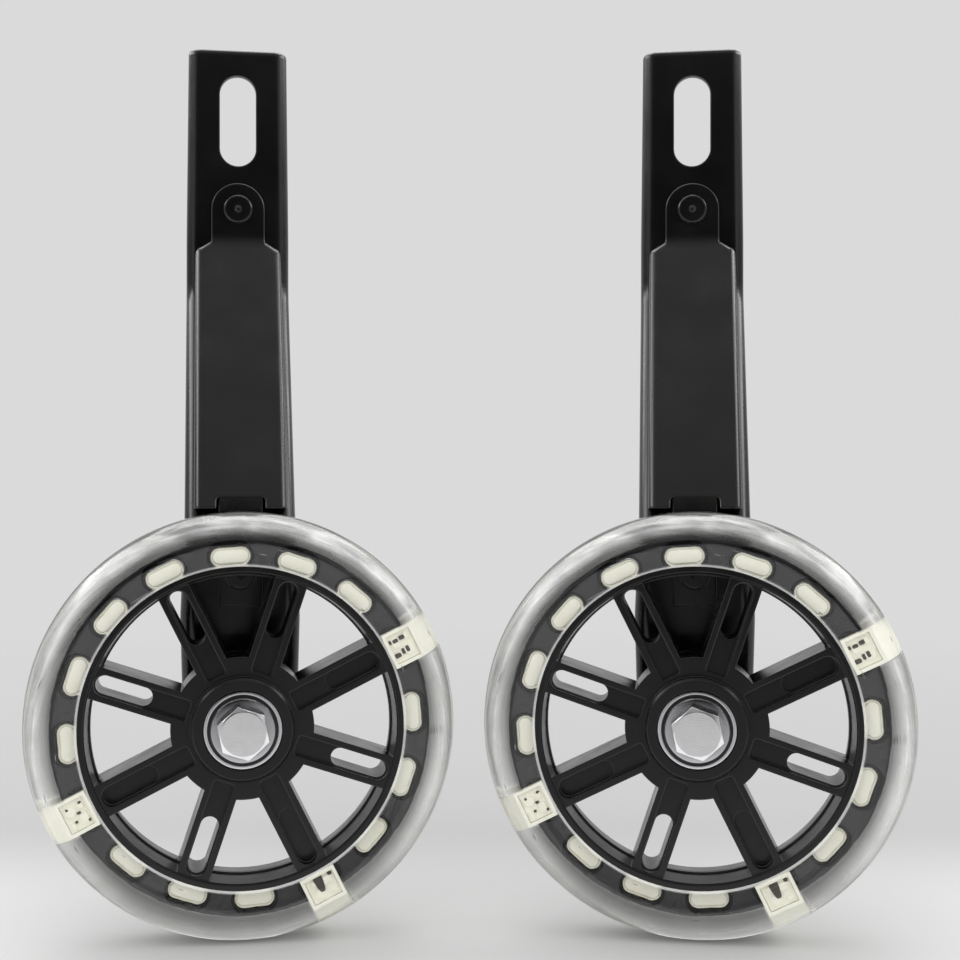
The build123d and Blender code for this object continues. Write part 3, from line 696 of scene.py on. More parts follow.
@dataclass(frozen=True)
class HazyCastPolyurethane:
    """Thick cast polyurethane in the flange's windows: hazy cream, slightly clear, with fine specks.

    Pattern sizes are in millimetres.
    """

    colour: str = "#f6f5e9"
    deep: str = "#ebe5d2"
    pale: str = "#fcfbf6"
    speck: str = "#8e8874"
    roughness: Pair = (0.42, 0.58)
    ior: float = 1.5
    clear: float = 0.1
    cloud_size: float = 7.0
    speck_spacing: float = 3.0
    speck_r: float = 0.14
    speck_share: float = 0.25
    grain_size: float = 1 / 1.4
    grain_depth: float = 0.01

    def build(self) -> Material:
        """Makes the material.

        Returns:
            The material.
        """
        finish = Finish("hazy_cast_polyurethane")
        place = finish.millimetres()
        cloud = {"Vector": place, "Scale": 1 / self.cloud_size, "Detail": 2.0}
        cloud = finish.add("ShaderNodeTexNoise", cloud, "Fac")
        stops = [(0, self.deep), (0.42, self.colour), (1, self.pale)]
        ground = finish.add("ShaderNodeValToRGB", {"Fac": cloud}, "Color", stops=stops)
        specks = finish.specks(place, self.speck_spacing, self.speck_r, self.speck_share)
        mix = {MIX_FACTOR: specks, MIX_FROM: ground, MIX_TO: linear(self.speck)}
        ground = finish.add("ShaderNodeMix", mix, MIX_OUT, data_type="RGBA")
        span = NOISE | {"To Min": self.roughness[0], "To Max": self.roughness[1]}
        gloss = finish.add("ShaderNodeMapRange", {"Value": cloud, **span}, "Result")
        grain = {"Vector": place, "Scale": 1 / self.grain_size, "Detail": 2.0}
        grain = finish.add("ShaderNodeTexNoise", grain, "Fac")
        relief = {"Height": grain, "Distance": self.grain_depth * MM}
        inputs = {
            "Base Color": ground,
            "Roughness": gloss,
            "IOR": self.ior,
            "Transmission Weight": self.clear,
            "Normal": finish.add("ShaderNodeBump", relief, "Normal"),
        }
        shader = finish.add("ShaderNodeBsdfPrincipled", inputs, "BSDF")
        finish.add("ShaderNodeOutputMaterial", {"Surface": shader})
        return finish.material


@dataclass(frozen=True)
class LacqueredBoard:
    """White-lacquered circuit board: warm white solder mask with faint darker tracks under it.

    Pattern sizes are in millimetres. A track is a share of its spacing wide, with a soft edge.
    """

    colour: str = "#f1efe3"
    track: str = "#dfdbca"
    roughness: Pair = (0.35, 0.5)
    ior: float = 1.5
    track_spacing: float = 1.2
    track_edge: Pair = (0.18, 0.26)
    cloud_size: float = 1.5

    def build(self) -> Material:
        """Makes the material.

        Returns:
            The material.
        """
        finish = Finish("white_lacquered_circuit_board")
        place = finish.millimetres()
        cells = {"Vector": place, "Scale": 1 / self.track_spacing}
        cells = finish.add("ShaderNodeTexVoronoi", cells, "Distance", distance="MANHATTAN")
        span = {"From Min": self.track_edge[0], "From Max": self.track_edge[1], **FALLING}
        tracks = finish.add("ShaderNodeMapRange", {"Value": cells, **span}, "Result")
        mix = {MIX_FACTOR: tracks, MIX_FROM: linear(self.colour), MIX_TO: linear(self.track)}
        ground = finish.add("ShaderNodeMix", mix, MIX_OUT, data_type="RGBA")
        cloud = finish.add("ShaderNodeTexNoise", {"Vector": place, "Scale": 1 / self.cloud_size}, "Fac")
        span = NOISE | {"To Min": self.roughness[0], "To Max": self.roughness[1]}
        gloss = finish.add("ShaderNodeMapRange", {"Value": cloud, **span}, "Result")
        inputs = {"Base Color": ground, "Roughness": gloss, "IOR": self.ior}
        shader = finish.add("ShaderNodeBsdfPrincipled", inputs, "BSDF")
        finish.add("ShaderNodeOutputMaterial", {"Surface": shader})
        return finish.material


@dataclass(frozen=True)
class MouldedBlack:
    """A dull black moulding whose grain gives its colour, gloss and relief alike.

    The grain's size and depth are in millimetres.
    """

    name: str
    colour: str
    light: str
    roughness: Pair
    ior: float
    grain_size: float
    detail: float
    grain_depth: float = 0.01

    def build(self) -> Material:
        """Makes the material.

        Returns:
            The material.
        """
        finish = Finish(self.name)
        grain = {"Vector": finish.millimetres(), "Scale": 1 / self.grain_size, "Detail": self.detail}
        grain = finish.add("ShaderNodeTexNoise", grain, "Fac")
        stops = [(0, self.colour), (1, self.light)]
        ground = finish.add("ShaderNodeValToRGB", {"Fac": grain}, "Color", stops=stops)
        span = NOISE | {"To Min": self.roughness[0], "To Max": self.roughness[1]}
        gloss = finish.add("ShaderNodeMapRange", {"Value": grain, **span}, "Result")
        relief = {"Height": grain, "Distance": self.grain_depth * MM}
        relief = finish.add("ShaderNodeBump", relief, "Normal")
        inputs = {"Base Color": ground, "Roughness": gloss, "IOR": self.ior, "Normal": relief}
        shader = finish.add("ShaderNodeBsdfPrincipled", inputs, "BSDF")
        finish.add("ShaderNodeOutputMaterial", {"Surface": shader})
        return finish.material


# Moulded epoxy of small electronic parts is dark brown black and dull, with a fine grain. Moulded nitrile
# rubber is black and matt, with a little bloom.
POTTED_COMPONENT = MouldedBlack("dark_moulded_epoxy", "#232019", "#4a453c", (0.4, 0.6), 1.55, 0.6, 2.0)
SEAL_RUBBER = MouldedBlack("black_moulded_nitrile", "#101010", "#1b1b1b", (0.5, 0.7), 1.52, 1.2, 3.0)


@dataclass(frozen=True)
class BrightZincPlate:
    """Bright zinc plate on steel: pale silver grey with soft clouds, fine scratches and a broken gloss.

    Pattern sizes are in millimetres.
    """

    colour: str = "#d6d6d7"
    dull: str = "#b8b8ba"
    pale: str = "#e2e2e3"
    roughness: Pair = (0.15, 0.27)
    edge: float = 0.35
    cloud_size: float = 3.0
    scratch_size: float = 1.6
    scratch_stretch: Point = (1.0, 1.0, 9.0)
    scratch_depth: float = 0.008

    def build(self) -> Material:
        """Makes the material.

        Returns:
            The material.
        """
        finish = Finish("bright_zinc_plated_steel")
        place = finish.millimetres()
        cloud = {"Vector": place, "Scale": 1 / self.cloud_size, "Detail": 4.0}
        cloud = finish.add("ShaderNodeTexNoise", cloud, "Fac")
        stops = [(0, self.dull), (0.55, self.colour), (1, self.pale)]
        ground = finish.add("ShaderNodeValToRGB", {"Fac": cloud}, "Color", stops=stops)
        span = NOISE | {"To Min": self.roughness[0], "To Max": self.roughness[1]}
        gloss = finish.add("ShaderNodeMapRange", {"Value": cloud, **span}, "Result")
        stretch = {"Vector": place, "Scale": self.scratch_stretch}
        stretch = finish.add("ShaderNodeMapping", stretch, "Vector")
        scratch = {"Vector": stretch, "Scale": 1 / self.scratch_size}
        scratch = finish.add("ShaderNodeTexNoise", scratch, "Fac")
        rounded = finish.add("ShaderNodeBevel", {"Radius": self.edge * MM}, "Normal", samples=8)
        relief = {"Height": scratch, "Distance": self.scratch_depth * MM, "Normal": rounded}
        relief = finish.add("ShaderNodeBump", relief, "Normal")
        inputs = {"Base Color": ground, "Metallic": 1.0, "Roughness": gloss, "Normal": relief}
        shader = finish.add("ShaderNodeBsdfPrincipled", inputs, "BSDF")
        finish.add("ShaderNodeOutputMaterial", {"Surface": shader})
        return finish.material


@dataclass(frozen=True)
class TurnedSteel:
    """Steel that was turned or ground round the axle: bright, with fine rings that break its gloss.

    Sizes are in millimetres. The crown is how far a ring's face falls a millimetre from crown_r.
    """

    name: str = "ground_bearing_steel"
    colour: str = "#cacacc"
    line: str = "#a6a6aa"
    roughness: Pair = (0.16, 0.28)
    # Turning lines are near 0.02 mm. They are drawn at 0.3 mm, the finest that shows in the render.
    line_size: float = 0.3
    line_depth: float = 0.004
    crown_r: float = 0.0
    crown: float = 0.0

    def build(self, unit: UnitFrame) -> Material:
        """Makes the material for one unit's pieces.

        Args:
            unit: The unit, whose axle the rings run round.

        Returns:
            The material.
        """
        finish = Finish(f"{self.name}_{unit.side.value}")
        radius, _ = finish.round_axle(finish.millimetres(unit))
        rings = finish.add("ShaderNodeCombineXYZ", {"X": radius}, 0)
        lines = finish.add("ShaderNodeTexNoise", {"Vector": rings, "Scale": 1 / self.line_size}, "Fac")
        stops = [(0, self.line), (1, self.colour)]
        ground = finish.add("ShaderNodeValToRGB", {"Fac": lines}, "Color", stops=stops)
        span = NOISE | {"To Min": self.roughness[0], "To Max": self.roughness[1]}
        gloss = finish.add("ShaderNodeMapRange", {"Value": lines, **span}, "Result")
        # A slight crown across a ring's face bends its gloss into bands.
        off = finish.add("ShaderNodeMath", {0: radius, 1: self.crown_r}, 0, operation="SUBTRACT")
        drop = finish.add("ShaderNodeMath", {0: off, 1: off}, 0, operation="MULTIPLY")
        fine = finish.add("ShaderNodeMath", {0: lines, 1: self.line_depth}, 0, operation="MULTIPLY")
        crowned = {0: drop, 1: -self.crown, 2: fine}
        crowned = finish.add("ShaderNodeMath", crowned, 0, operation="MULTIPLY_ADD")
        relief = finish.add("ShaderNodeBump", {"Height": crowned, "Distance": MM}, "Normal")
        inputs = {"Base Color": ground, "Metallic": 1.0, "Roughness": gloss, "Normal": relief}
        shader = finish.add("ShaderNodeBsdfPrincipled", inputs, "BSDF")
        finish.add("ShaderNodeOutputMaterial", {"Surface": shader})
        return finish.material


BEARING_STEEL = TurnedSteel()
BEARING_RING = TurnedSteel("crowned_bearing_ring", crown_r=10.15, crown=0.22)
ZINC_WASHER = TurnedSteel("turned_zinc_washer", "#b4b4b6", "#8e8e92", crown_r=6.9, crown=0.05)


@dataclass
class Shape:
    """Corners and faces of a mesh that is put together from several closed forms."""

    points: list[Vector] = field(default_factory=list)
    faces: list[tuple[int, ...]] = field(default_factory=list)
    sharp_angle: float = 35.0

    def loft(self, rings: Sequence[Sequence[Vector]], closed: bool = False) -> None:
        """Adds a skin over rings of equally many corners.

        Args:
            rings: The rings in order, each going round the same way.
            closed: Whether the last ring joins the first one. If not, both ends are capped.
        """
        count = len(rings[0])
        start = len(self.points)
        for ring in rings:
            self.points.extend(ring)
        for row in range(len(rings) if closed else len(rings) - 1):
            here = start + row * count
            there = start + (row + 1) % len(rings) * count
            for k in range(count):
                nxt = (k + 1) % count
                self.faces.append((here + k, here + nxt, there + nxt, there + k))
        if not closed:
            last = start + (len(rings) - 1) * count
            self.faces.append(tuple(start + k for k in reversed(range(count))))
            self.faces.append(tuple(last + k for k in range(count)))

    def build(self, name: str, material: Material, body: str, slot: str) -> bpy.types.Object:
        """Makes the mesh a piece of the scene and sets it on its body.

        Args:
            name: The piece's name.
            material: Its finish.
            body: The body it moves with.
            slot: The record's material slot. Not used.

        Returns:
            The new object.
        """
        mesh = bpy.data.meshes.new(name)
        mesh.from_pydata([tuple(p) for p in self.points], [], self.faces)
        work = bmesh.new()
        work.from_mesh(mesh)
        bmesh.ops.recalc_face_normals(work, faces=work.faces)
        work.to_mesh(mesh)
        work.free()
        mesh.materials.append(material)
        mesh.shade_smooth()
        mesh.set_sharp_from_angle(angle=math.radians(self.sharp_angle))
        piece = bpy.data.objects.new(name, mesh)
        bpy.context.scene.collection.objects.link(piece)
        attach(piece, body)
        LOG.info("%s: %d faces on %s", name, len(mesh.polygons), body)
        return piece


@dataclass
class CastTyre:
    """A unit's clear tyre, cast round the core's flange and the light modules.

    Sizes are in millimetres. The lip's curve is in shares of the lip, out along the radius and up from
    the bead. Each wave of the poured skin has a height, a count round the wheel and a lean across it.
    """

    unit: UnitFrame
    outer_r: float = 60.0
    half_w: float = 11.5
    shoulder_r: float = 8.5
    shoulder_steps: int = 12
    bead_r: float = 44.9
    bead_half: float = 9.5
    lip: float = 0.75
    lip_curve: tuple[Pair, ...] = ((0.0, 0.0), (0.3, 0.55), (0.75, 0.95), (1.6, 1.1))
    wall_places: Pair = (3.0, 1.5)
    wall_slope: float = 0.14
    bond: float = 0.25
    seam_h: float = 0.06
    seam_half: float = 0.35
    waves: tuple[tuple[float, int, float], ...] = ((0.025, 5, 1.0), (0.02, 13, -0.7))
    steps: int = 288

    def profile(self) -> Outline:
        """The tyre's section as a closed line.

        Returns:
            Its (radius, y) points, front bead to back bead.
        """
        shoulder = self.outer_r - self.shoulder_r
        tread = self.half_w - self.shoulder_r
        half = [(self.bead_r - self.bond, self.bead_half - self.bond)]
        for out, up in self.lip_curve:
            half.append((self.bead_r + self.lip * out, self.bead_half + self.lip * up))
        half += [(shoulder - k, self.half_w - self.wall_slope * k) for k in self.wall_places]
        for k in range(self.shoulder_steps + 1):
            angle = math.radians(90 - 90 * k / self.shoulder_steps)
            out, up = self.shoulder_r * math.cos(angle), self.shoulder_r * math.sin(angle)
            half.append((shoulder + out, tread + up))
        half += [(self.outer_r, tread / 2), (self.outer_r, self.seam_half)]
        crown = [(self.outer_r - self.seam_h, 0.0)]
        front = [(r, -y) for r, y in half]
        return front + crown + half[::-1]

    def waviness(self, angle: float, r: float, y: float) -> float:
        """How far the poured casting's skin stands off its true radius at a place.

        Args:
            angle: The direction from the axle, in radians.
            r: The true radius in millimetres.
            y: The place along the axle in millimetres.

        Returns:
            The distance in millimetres, never outwards.
        """
        if r < self.bead_r + self.lip:
            return 0.0
        return sum(high * (math.sin(count * angle + lean * y) - 1) for high, count, lean in self.waves)

    def build(self, material: Material) -> bpy.types.Object:
        """Turns the section round the axle, with the slight waviness of a hand-poured casting.

        Args:
            material: The clear finish.

        Returns:
            The tyre's piece.
        """
        section = self.profile()
        rings = []
        for step in range(self.steps):
            turn = 360 * step / self.steps
            radii = [r + self.waviness(math.radians(turn), r, y) for r, y in section]
            rings.append([self.unit.on_wheel(turn, r, 0.0, y) for r, (_, y) in zip(radii, section)])
        shape = Shape()
        shape.loft(rings, closed=True)
        name = self.unit.node("tyre_casting")
        piece = shape.build(name, material, self.unit.wheel, "clear_polyurethane")
        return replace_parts(piece, self.unit.node("tyre"))


@dataclass
class WindowPlugs:
    """The hazy resin in the windows of a wheel's flange, with a raised face in a groove on both sides.

    Sizes are in millimetres. The face's curve is (further in than the groove, depth) places from the
    middle outwards, and the rim's curve goes on with (in from the edge, depth) places.
    """

    unit: UnitFrame
    pitch_r: float = 48.0
    length: float = 11.4
    height: float = 5.1
    half_depth: float = 5.7
    groove: float = 0.62
    face_curve: tuple[Pair, ...] = (
        (0.42, 0.0),
        (0.2, 0.07),
        (0.1, 0.2),
        (0.05, 0.6),
        (-0.05, 0.6),
        (-0.12, 0.3),
    )
    rim_curve: tuple[Pair, ...] = ((0.34, 0.18), (0.1, 0.3), (0.0, 0.6))
    arc_steps: int = 10

    def outline(self, inset: float) -> Outline:
        """A plug's round-ended outline.

        Args:
            inset: How far it is drawn in, in millimetres.

        Returns:
            Its (out, across) places from the plug's middle.
        """
        radius = self.height / 2 - inset
        reach = self.length / 2 - self.height / 2
        points = []
        for end in (1, -1):
            for k in range(self.arc_steps + 1):
                angle = math.pi * k / self.arc_steps
                points.append((end * radius * math.cos(angle), end * (reach + radius * math.sin(angle))))
        return points

    def levels(self) -> Outline:
        """The plug's outline at each depth.

        Returns:
            The (inset, y) pairs, front to back.
        """
        front = [(self.groove + inset, depth - self.half_depth) for inset, depth in self.face_curve]
        front += [(inset, depth - self.half_depth) for inset, depth in self.rim_curve]
        return front + [(inset, -y) for inset, y in reversed(front)]

    def build(self, material: Material) -> bpy.types.Object:
        """Makes all plugs of the wheel as one piece.

        Args:
            material: The plugs' finish.

        Returns:
            The piece.
        """
        shape = Shape()
        for window in range(WINDOWS):
            if window in LIGHT_WINDOWS:
                continue
            angle = FIRST_WINDOW + window * 360 / WINDOWS
            rings = []
            for inset, y in self.levels():
                places = [(self.pitch_r + out, across) for out, across in self.outline(inset)]
                rings.append([self.unit.on_wheel(angle, r, across, y) for r, across in places])
            shape.loft(rings)
        return shape.build(self.unit.node("window_plugs"), material, self.unit.wheel, "cream_case")


@dataclass(frozen=True)
class SmallPart:
    """One small part on a light board, in millimetres along and across the module.

    The taper is its width's share at the outer end. A power below 1 squares its round outline.
    """

    radius: float
    across: float
    length: float
    width: float
    height: float = 0.55
    taper: float = 1.0
    corners: int = 20
    power: float = 0.5

    def outline(self, inset: float) -> Outline:
        """The part's outline seen from the front.

        Args:
            inset: How far it is drawn in, in millimetres.

        Returns:
            Its (radius, across) places.
        """
        points = []
        for k in range(self.corners):
            angle = 2 * math.pi * (k + 0.5) / self.corners
            c, s = math.cos(angle), math.sin(angle)
            along = math.copysign(abs(c) ** self.power, c)
            aside = math.copysign(abs(s) ** self.power, s)
            narrow = 1 + (self.taper - 1) * (along + 1) / 2
            out = self.radius + (self.length / 2 - inset) * along
            points.append((out, self.across + (self.width / 2 - inset) * narrow * aside))
        return points


# What the board of each light module carries.
BOARDS = {
    Module.DRIVER: (
        SmallPart(46.9, 2.3, 1.0, 1.1),
        SmallPart(48.6, 2.2, 1.6, 1.1, 0.68),
        SmallPart(50.6, 2.4, 1.5, 1.2, 0.68),
        SmallPart(47.6, -1.9, 1.9, 1.3, 0.68),
        SmallPart(49.5, -1.4, 0.9, 1.6),
        SmallPart(50.8, -1.2, 1.0, 1.8, 0.68),
    ),
    Module.LAMPS: (
        SmallPart(47.6, 2.7, 0.8, 0.8),
        SmallPart(49.4, -0.3, 1.0, 0.7),
        SmallPart(50.9, 1.7, 0.7, 0.7),
        SmallPart(48.1, -2.8, 0.9, 0.7),
        SmallPart(51.8, -2.4, 0.7, 0.7, 0.68),
    ),
    Module.SWITCH: (
        SmallPart(48.7, -0.4, 4.6, 3.0, 0.72, 0.55),
        SmallPart(47.3, 3.2, 0.9, 1.2),
    ),
}


@dataclass
class BoardParts:
    """The small dark parts on the board of one light module.

    Sizes are in millimetres. The edge's curve is (in from the side, down from the top) places.
    """

    unit: UnitFrame
    module: Module
    angle: float
    board_y: float = -8.6
    sunk: float = 0.04
    edge_curve: tuple[Pair, ...] = ((0.0, 0.15), (0.06, 0.04), (0.16, 0.0))

    def build(self, material: Material) -> bpy.types.Object:
        """Makes the parts as one piece.

        Args:
            material: Their finish.

        Returns:
            The piece.
        """
        shape = Shape()
        for part in BOARDS[self.module]:
            top = self.board_y - part.height
            levels = [(0.0, self.board_y + self.sunk)]
            levels += [(inset, top + down) for inset, down in self.edge_curve]
            rings = []
            for inset, y in levels:
                rings.append([self.unit.on_wheel(self.angle, r, a, y) for r, a in part.outline(inset)])
            shape.loft(rings)
        name = self.unit.node(f"board_parts_{self.module.value}")
        return shape.build(name, material, self.unit.wheel, "light_board")


@dataclass(frozen=True)
class Screen:
    """A glowing screen beside the set, which only gloss and clear parts see.

    Its corners are in metres, in rows of two. Its brightness goes from the first level to the second
    one between two heights, which are in millimetres.
    """

    name: str
    corners: Sequence[Point]
    levels: Pair
    heights: Pair = (0.0, 1000.0)

    @classmethod
    def across(cls, name: str, half: float, line: Sequence[Pair], *glow: Pair) -> "Screen":
        """A screen that is bent along a line of (y, z) places and reaches as far to both sides of it."""
        return cls(name, [(x, y, z) for y, z in line for x in (-half, half)], *glow)

    def faces(self) -> list[tuple[int, int, int, int]]:
        """The corner numbers of each face between two rows."""
        return [(k, k + 1, k + 3, k + 2) for k in range(0, len(self.corners) - 2, 2)]

    def glow(self) -> Material:
        """Makes its light.

        Returns:
            The material.
        """
        finish = Finish(f"studio_{self.name}")
        height = finish.add("ShaderNodeSeparateXYZ", {"Vector": finish.millimetres()}, "Z")
        span = {"From Min": self.heights[0], "From Max": self.heights[1]}
        span |= {"To Min": self.levels[0], "To Max": self.levels[1]}
        level = finish.add("ShaderNodeMapRange", {"Value": height, **span}, "Result")
        glow = finish.add("ShaderNodeEmission", {"Strength": level}, "Emission")
        finish.add("ShaderNodeOutputMaterial", {"Surface": glow})
        return finish.material


@dataclass
class Studio:
    """A plain pale floor, a soft even light and the camera.

    Places and sizes are in metres, but the floor's fades are in millimetres. The floor is lighter in
    front and fades into the backdrop far out.
    """

    eye: Point = (-0.009, -0.4465, 0.1292)
    lens: float = 55.7
    sensor: float = 36.0
    shift: Pair = (0.0445, -0.0015)
    clip: Pair = (0.01, 50.0)

    floor: str = "#cecece"
    far_floor: str = "#b4b4b4"
    backdrop: str = "#dadada"
    floor_rings: tuple[float, ...] = (0.1, 0.2, 0.35, 0.6, 1.0, 1.4)
    floor_sides: int = 64
    floor_drop: float = 0.0002
    far_span: Pair = (0.0, 110.0)
    fade_span: Pair = (240.0, 900.0)

    daylight: str = "#ffffff"
    daylight_level: float = 1.32
    lamp_size: Pair = (0.9, 0.6)
    lamp_at: Point = (-0.15, 0.2, 0.95)
    lamp_watts: float = 1.7

    front_arc: Pair = (4.0, 78.0)
    front_steps: int = 12
    front_r: float = 0.85
    front_lift: float = 0.12
    side_x: float = 0.9
    side_y: Pair = (-0.35, 0.7)

    def build(self) -> None:
        """Builds the whole studio."""
        self.build_floor()
        self.build_world()
        self.build_lights()
        self.build_camera()

    def build_floor(self) -> None:
        """Makes the round pale floor."""
        sides = self.floor_sides
        points = [(0.0, 0.0, 0.0)]
        for r in self.floor_rings:
            for k in range(sides):
                angle = 2 * math.pi * k / sides
                points.append((r * math.cos(angle), r * math.sin(angle), 0.0))
        faces = [(0, 1 + k, 1 + (k + 1) % sides) for k in range(sides)]
        for ring in range(len(self.floor_rings) - 1):
            low, high = 1 + ring * sides, 1 + (ring + 1) * sides
            for k in range(sides):
                nxt = (k + 1) % sides
                faces.append((low + k, high + k, high + nxt, low + nxt))
        finish = Finish("matt_white_studio_floor")
        place = finish.millimetres()
        reach = finish.add("ShaderNodeVectorMath", {0: place}, "Value", operation="LENGTH")
        depth = finish.add("ShaderNodeSeparateXYZ", {"Vector": place}, "Y")
        masks = []
        for value, (start, stop) in ((reach, self.fade_span), (depth, self.far_span)):
            span = {"Value": value, "From Min": start, "From Max": stop}
            masks.append(finish.add("ShaderNodeMapRange", span, "Result", interpolation_type="SMOOTHSTEP"))
        fade, far = masks
        mix = {MIX_FACTOR: far, MIX_FROM: linear(self.floor), MIX_TO: linear(self.far_floor)}
        colour = finish.add("ShaderNodeMix", mix, MIX_OUT, data_type="RGBA")
        matt = finish.add("ShaderNodeBsdfDiffuse", {"Color": colour}, "BSDF")
        through = finish.add("ShaderNodeBsdfTransparent", out="BSDF")
        surface = finish.add("ShaderNodeMixShader", {0: fade, 1: matt, 2: through}, 0)
        finish.add("ShaderNodeOutputMaterial", {"Surface": surface})
        floor = self.place("studio_floor", points, faces, finish.material)
        floor.location.z = -self.floor_drop

    def build_world(self) -> None:
        """Makes an even light all round, which the eye, gloss and clear parts see as the pale backdrop."""
        world = bpy.data.worlds.new("pale_studio")
        bpy.context.scene.world = world
        world.use_nodes = True
        tree = world.node_tree
        tree.nodes.clear()
        rays = add_node(tree, "ShaderNodeLightPath").outputs
        seen = {0: rays["Is Camera Ray"], 1: rays["Is Glossy Ray"]}
        seen = add_node(tree, "ShaderNodeMath", seen, 0, operation="MAXIMUM")
        seen = {0: seen, 1: rays["Is Transmission Ray"]}
        seen = add_node(tree, "ShaderNodeMath", seen, 0, operation="MAXIMUM")
        light = {"Color": linear(self.daylight), "Strength": self.daylight_level}
        light = add_node(tree, "ShaderNodeBackground", light, 0)
        back = {"Color": linear(self.backdrop), "Strength": 1.0}
        back = add_node(tree, "ShaderNodeBackground", back, 0)
        mix = add_node(tree, "ShaderNodeMixShader", {0: seen, 1: light, 2: back}, 0)
        add_node(tree, "ShaderNodeOutputWorld", {"Surface": mix})

    def screens(self) -> list[Screen]:
        """The screens round the set.

        Returns:
            Dark ones in front, and bright ones below, above and at both sides.
        """
        start, stop = self.front_arc
        arc = [start + (stop - start) * k / self.front_steps for k in range(self.front_steps + 1)]
        arc = [math.radians(angle) for angle in arc]
        bend = [(-self.front_r * math.cos(a), self.front_lift + self.front_r * math.sin(a)) for a in arc]
        found = [
            Screen.across("dark_front_screen", 0.7, bend, (0.01, 0.5), (400.0, 850.0)),
            Screen.across("dark_camera_card", 0.14, [(-0.8, 0.0), (-0.8, 0.18)], (0.01, 0.01)),
            Screen.across("bright_floor_screen", 0.35, [(-0.18, 0.001), (-0.03, 0.001)], (1.3, 1.3)),
            Screen.across("bright_ceiling_screen", 0.7, [(0.35, 1.0), (1.1, 1.0)], (3.5, 3.5)),
            Screen.across("bright_top_screen", 0.4, [(0.0, 0.9), (0.3, 0.9)], (6.0, 6.0)),
        ]
        # The side screens are dim low down, so that the arms' rolled edges stay dark there.
        for side, x in ((Side.LEFT, -self.side_x), (Side.RIGHT, self.side_x)):
            for kind, low, high, levels, heights in (
                ("dim", 0.25, 0.6, (0.2, 0.8), (250.0, 600.0)),
                ("bright", 0.6, 1.15, (7.0, 3.0), (600.0, 950.0)),
            ):
                corners = [(x, y, z) for z in (low, high) for y in self.side_y]
                found.append(Screen(f"{side.value}_{kind}_screen", corners, levels, heights))
        return found

    def build_lights(self) -> None:
        """Hangs a broad soft lamp above, and sets up the screens."""
        lamp = bpy.data.lights.new("overhead_softbox", "AREA")
        lamp.shape = "RECTANGLE"
        lamp.size, lamp.size_y = self.lamp_size
        lamp.energy = self.lamp_watts
        box = bpy.data.objects.new("overhead_softbox", lamp)
        box.matrix_world = Matrix.Translation(self.lamp_at)
        bpy.context.scene.collection.objects.link(box)
        for screen in self.screens():
            sheet = self.place(screen.name, screen.corners, screen.faces(), screen.glow())
            sheet.visible_camera = sheet.visible_diffuse = sheet.visible_shadow = False

    def build_camera(self) -> None:
        """Sets the camera at the photograph's viewpoint: level, and nearly straight on."""
        data = bpy.data.cameras.new("camera")
        data.lens = self.lens
        data.sensor_width = self.sensor
        data.shift_x, data.shift_y = self.shift
        data.clip_start, data.clip_end = self.clip
        camera = bpy.data.objects.new("camera", data)
        camera.location = self.eye
        camera.rotation_euler = (math.radians(90), 0, 0)
        bpy.context.scene.collection.objects.link(camera)
        bpy.context.scene.camera = camera

    def place(
        self, name: str, points: Sequence[Point], faces: Sequence[tuple[int, ...]], material: Material
    ) -> bpy.types.Object:
        """Sets a mesh in the studio.

        Args:
            name: Its name.
            points: Its corners in metres.
            faces: The corner numbers of each face.
            material: Its finish.

        Returns:
            The new object.
        """
        mesh = bpy.data.meshes.new(name)
        mesh.from_pydata(points, [], faces)
        mesh.materials.append(material)
        thing = bpy.data.objects.new(name, mesh)
        bpy.context.scene.collection.objects.link(thing)
        return thing


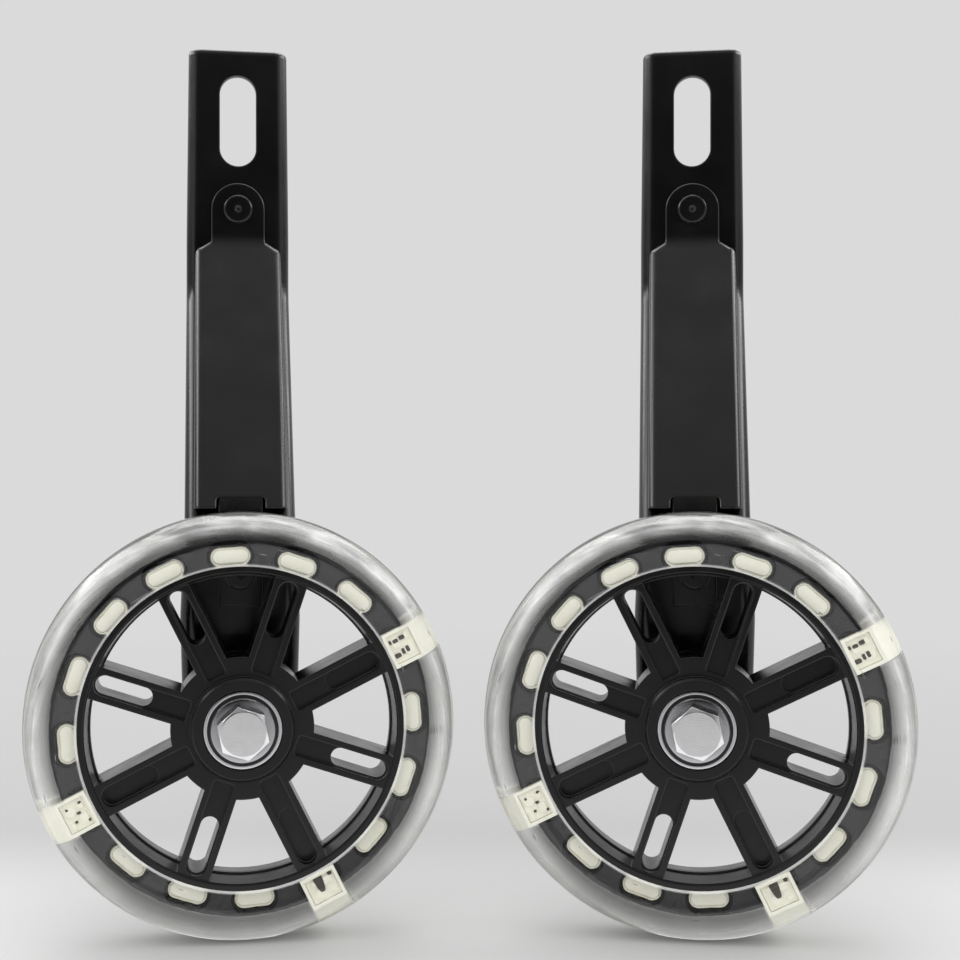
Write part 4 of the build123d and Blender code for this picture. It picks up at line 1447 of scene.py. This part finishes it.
@dataclass
class Wardrobe:
    """The finishes that both units share, and which solids take each one."""

    paint: Material = field(default_factory=lambda: SatinBlackPaint().build())
    zinc: Material = field(default_factory=lambda: BrightZincPlate().build())
    case: Material = field(default_factory=lambda: MouldedCreamCase().build())
    plug: Material = field(default_factory=lambda: HazyCastPolyurethane().build())
    board: Material = field(default_factory=lambda: LacqueredBoard().build())
    epoxy: Material = field(default_factory=POTTED_COMPONENT.build)
    rubber: Material = field(default_factory=SEAL_RUBBER.build)

    def dress(self, unit: UnitFrame, nodes: dict[str, bpy.types.Object]) -> None:
        """Gives each of a unit's solids its finish.

        Args:
            unit: The unit.
            nodes: All solids by name.
        """
        steel = BEARING_STEEL.build(unit)
        groups = {
            "arm brace upper_rivet lower_rivet": self.paint,
            "wheel_core": MouldedBlackNylon().build(unit),
            "axle_bolt standoff_bush lock_washer axle_nut bearing_spacer": self.zinc,
            "bolt_washer": ZINC_WASHER.build(unit),
            "front_outer_ring rear_outer_ring": BEARING_RING.build(unit),
            "front_inner_ring front_balls front_cage": steel,
            "rear_inner_ring rear_balls rear_cage": steel,
            "light_case_1 light_case_2 light_case_3": self.case,
            "light_board_1 light_board_2 light_board_3": self.board,
            "front_seals rear_seals": self.rubber,
        }
        for names, material in groups.items():
            for name in names.split():
                solid = nodes[unit.node(name)]
                solid.data.materials.clear()
                solid.data.materials.append(material)
                LOG.info("%s: %s", solid.name, material.name)

    def fit(self, unit: UnitFrame) -> None:
        """Adds a unit's own pieces: the window plugs, the small parts on the boards and the clear tyre.

        Args:
            unit: The unit.
        """
        WindowPlugs(unit).build(self.plug)
        for module, window in zip(Module, LIGHT_WINDOWS):
            BoardParts(unit, module, FIRST_WINDOW + window * 360 / WINDOWS).build(self.epoxy)
        CastTyre(unit).build(CastClearPolyurethane().build(unit))


def unit_frames(joints: Sequence[dict[str, Any]]) -> list[UnitFrame]:
    """Finds both units' axles from their wheels' joints.

    Args:
        joints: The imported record's joints.

    Returns:
        The left and right units' frames.
    """
    by_name = {joint["name"]: joint for joint in joints}
    frames = []
    for side in Side:
        joint = by_name[f"{side.value}_wheel_spin"]
        across, along, _ = joint["axis"]
        frames.append(UnitFrame(side, tuple(joint["pos_m"]), math.atan2(-across, along)))
    return frames


def main() -> None:
    """Builds the dressed pair and its studio."""
    logging.basicConfig(level=logging.INFO, format="%(message)s")
    for thing in list(bpy.data.objects):
        bpy.data.objects.remove(thing)
    bpy.context.scene.view_settings.view_transform = "Standard"
    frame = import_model()
    wardrobe = Wardrobe()
    for unit in unit_frames(frame["joints"]):
        wardrobe.dress(unit, frame["nodes"])
        wardrobe.fit(unit)
    Studio().build()


if __name__ == "__main__":
    main()
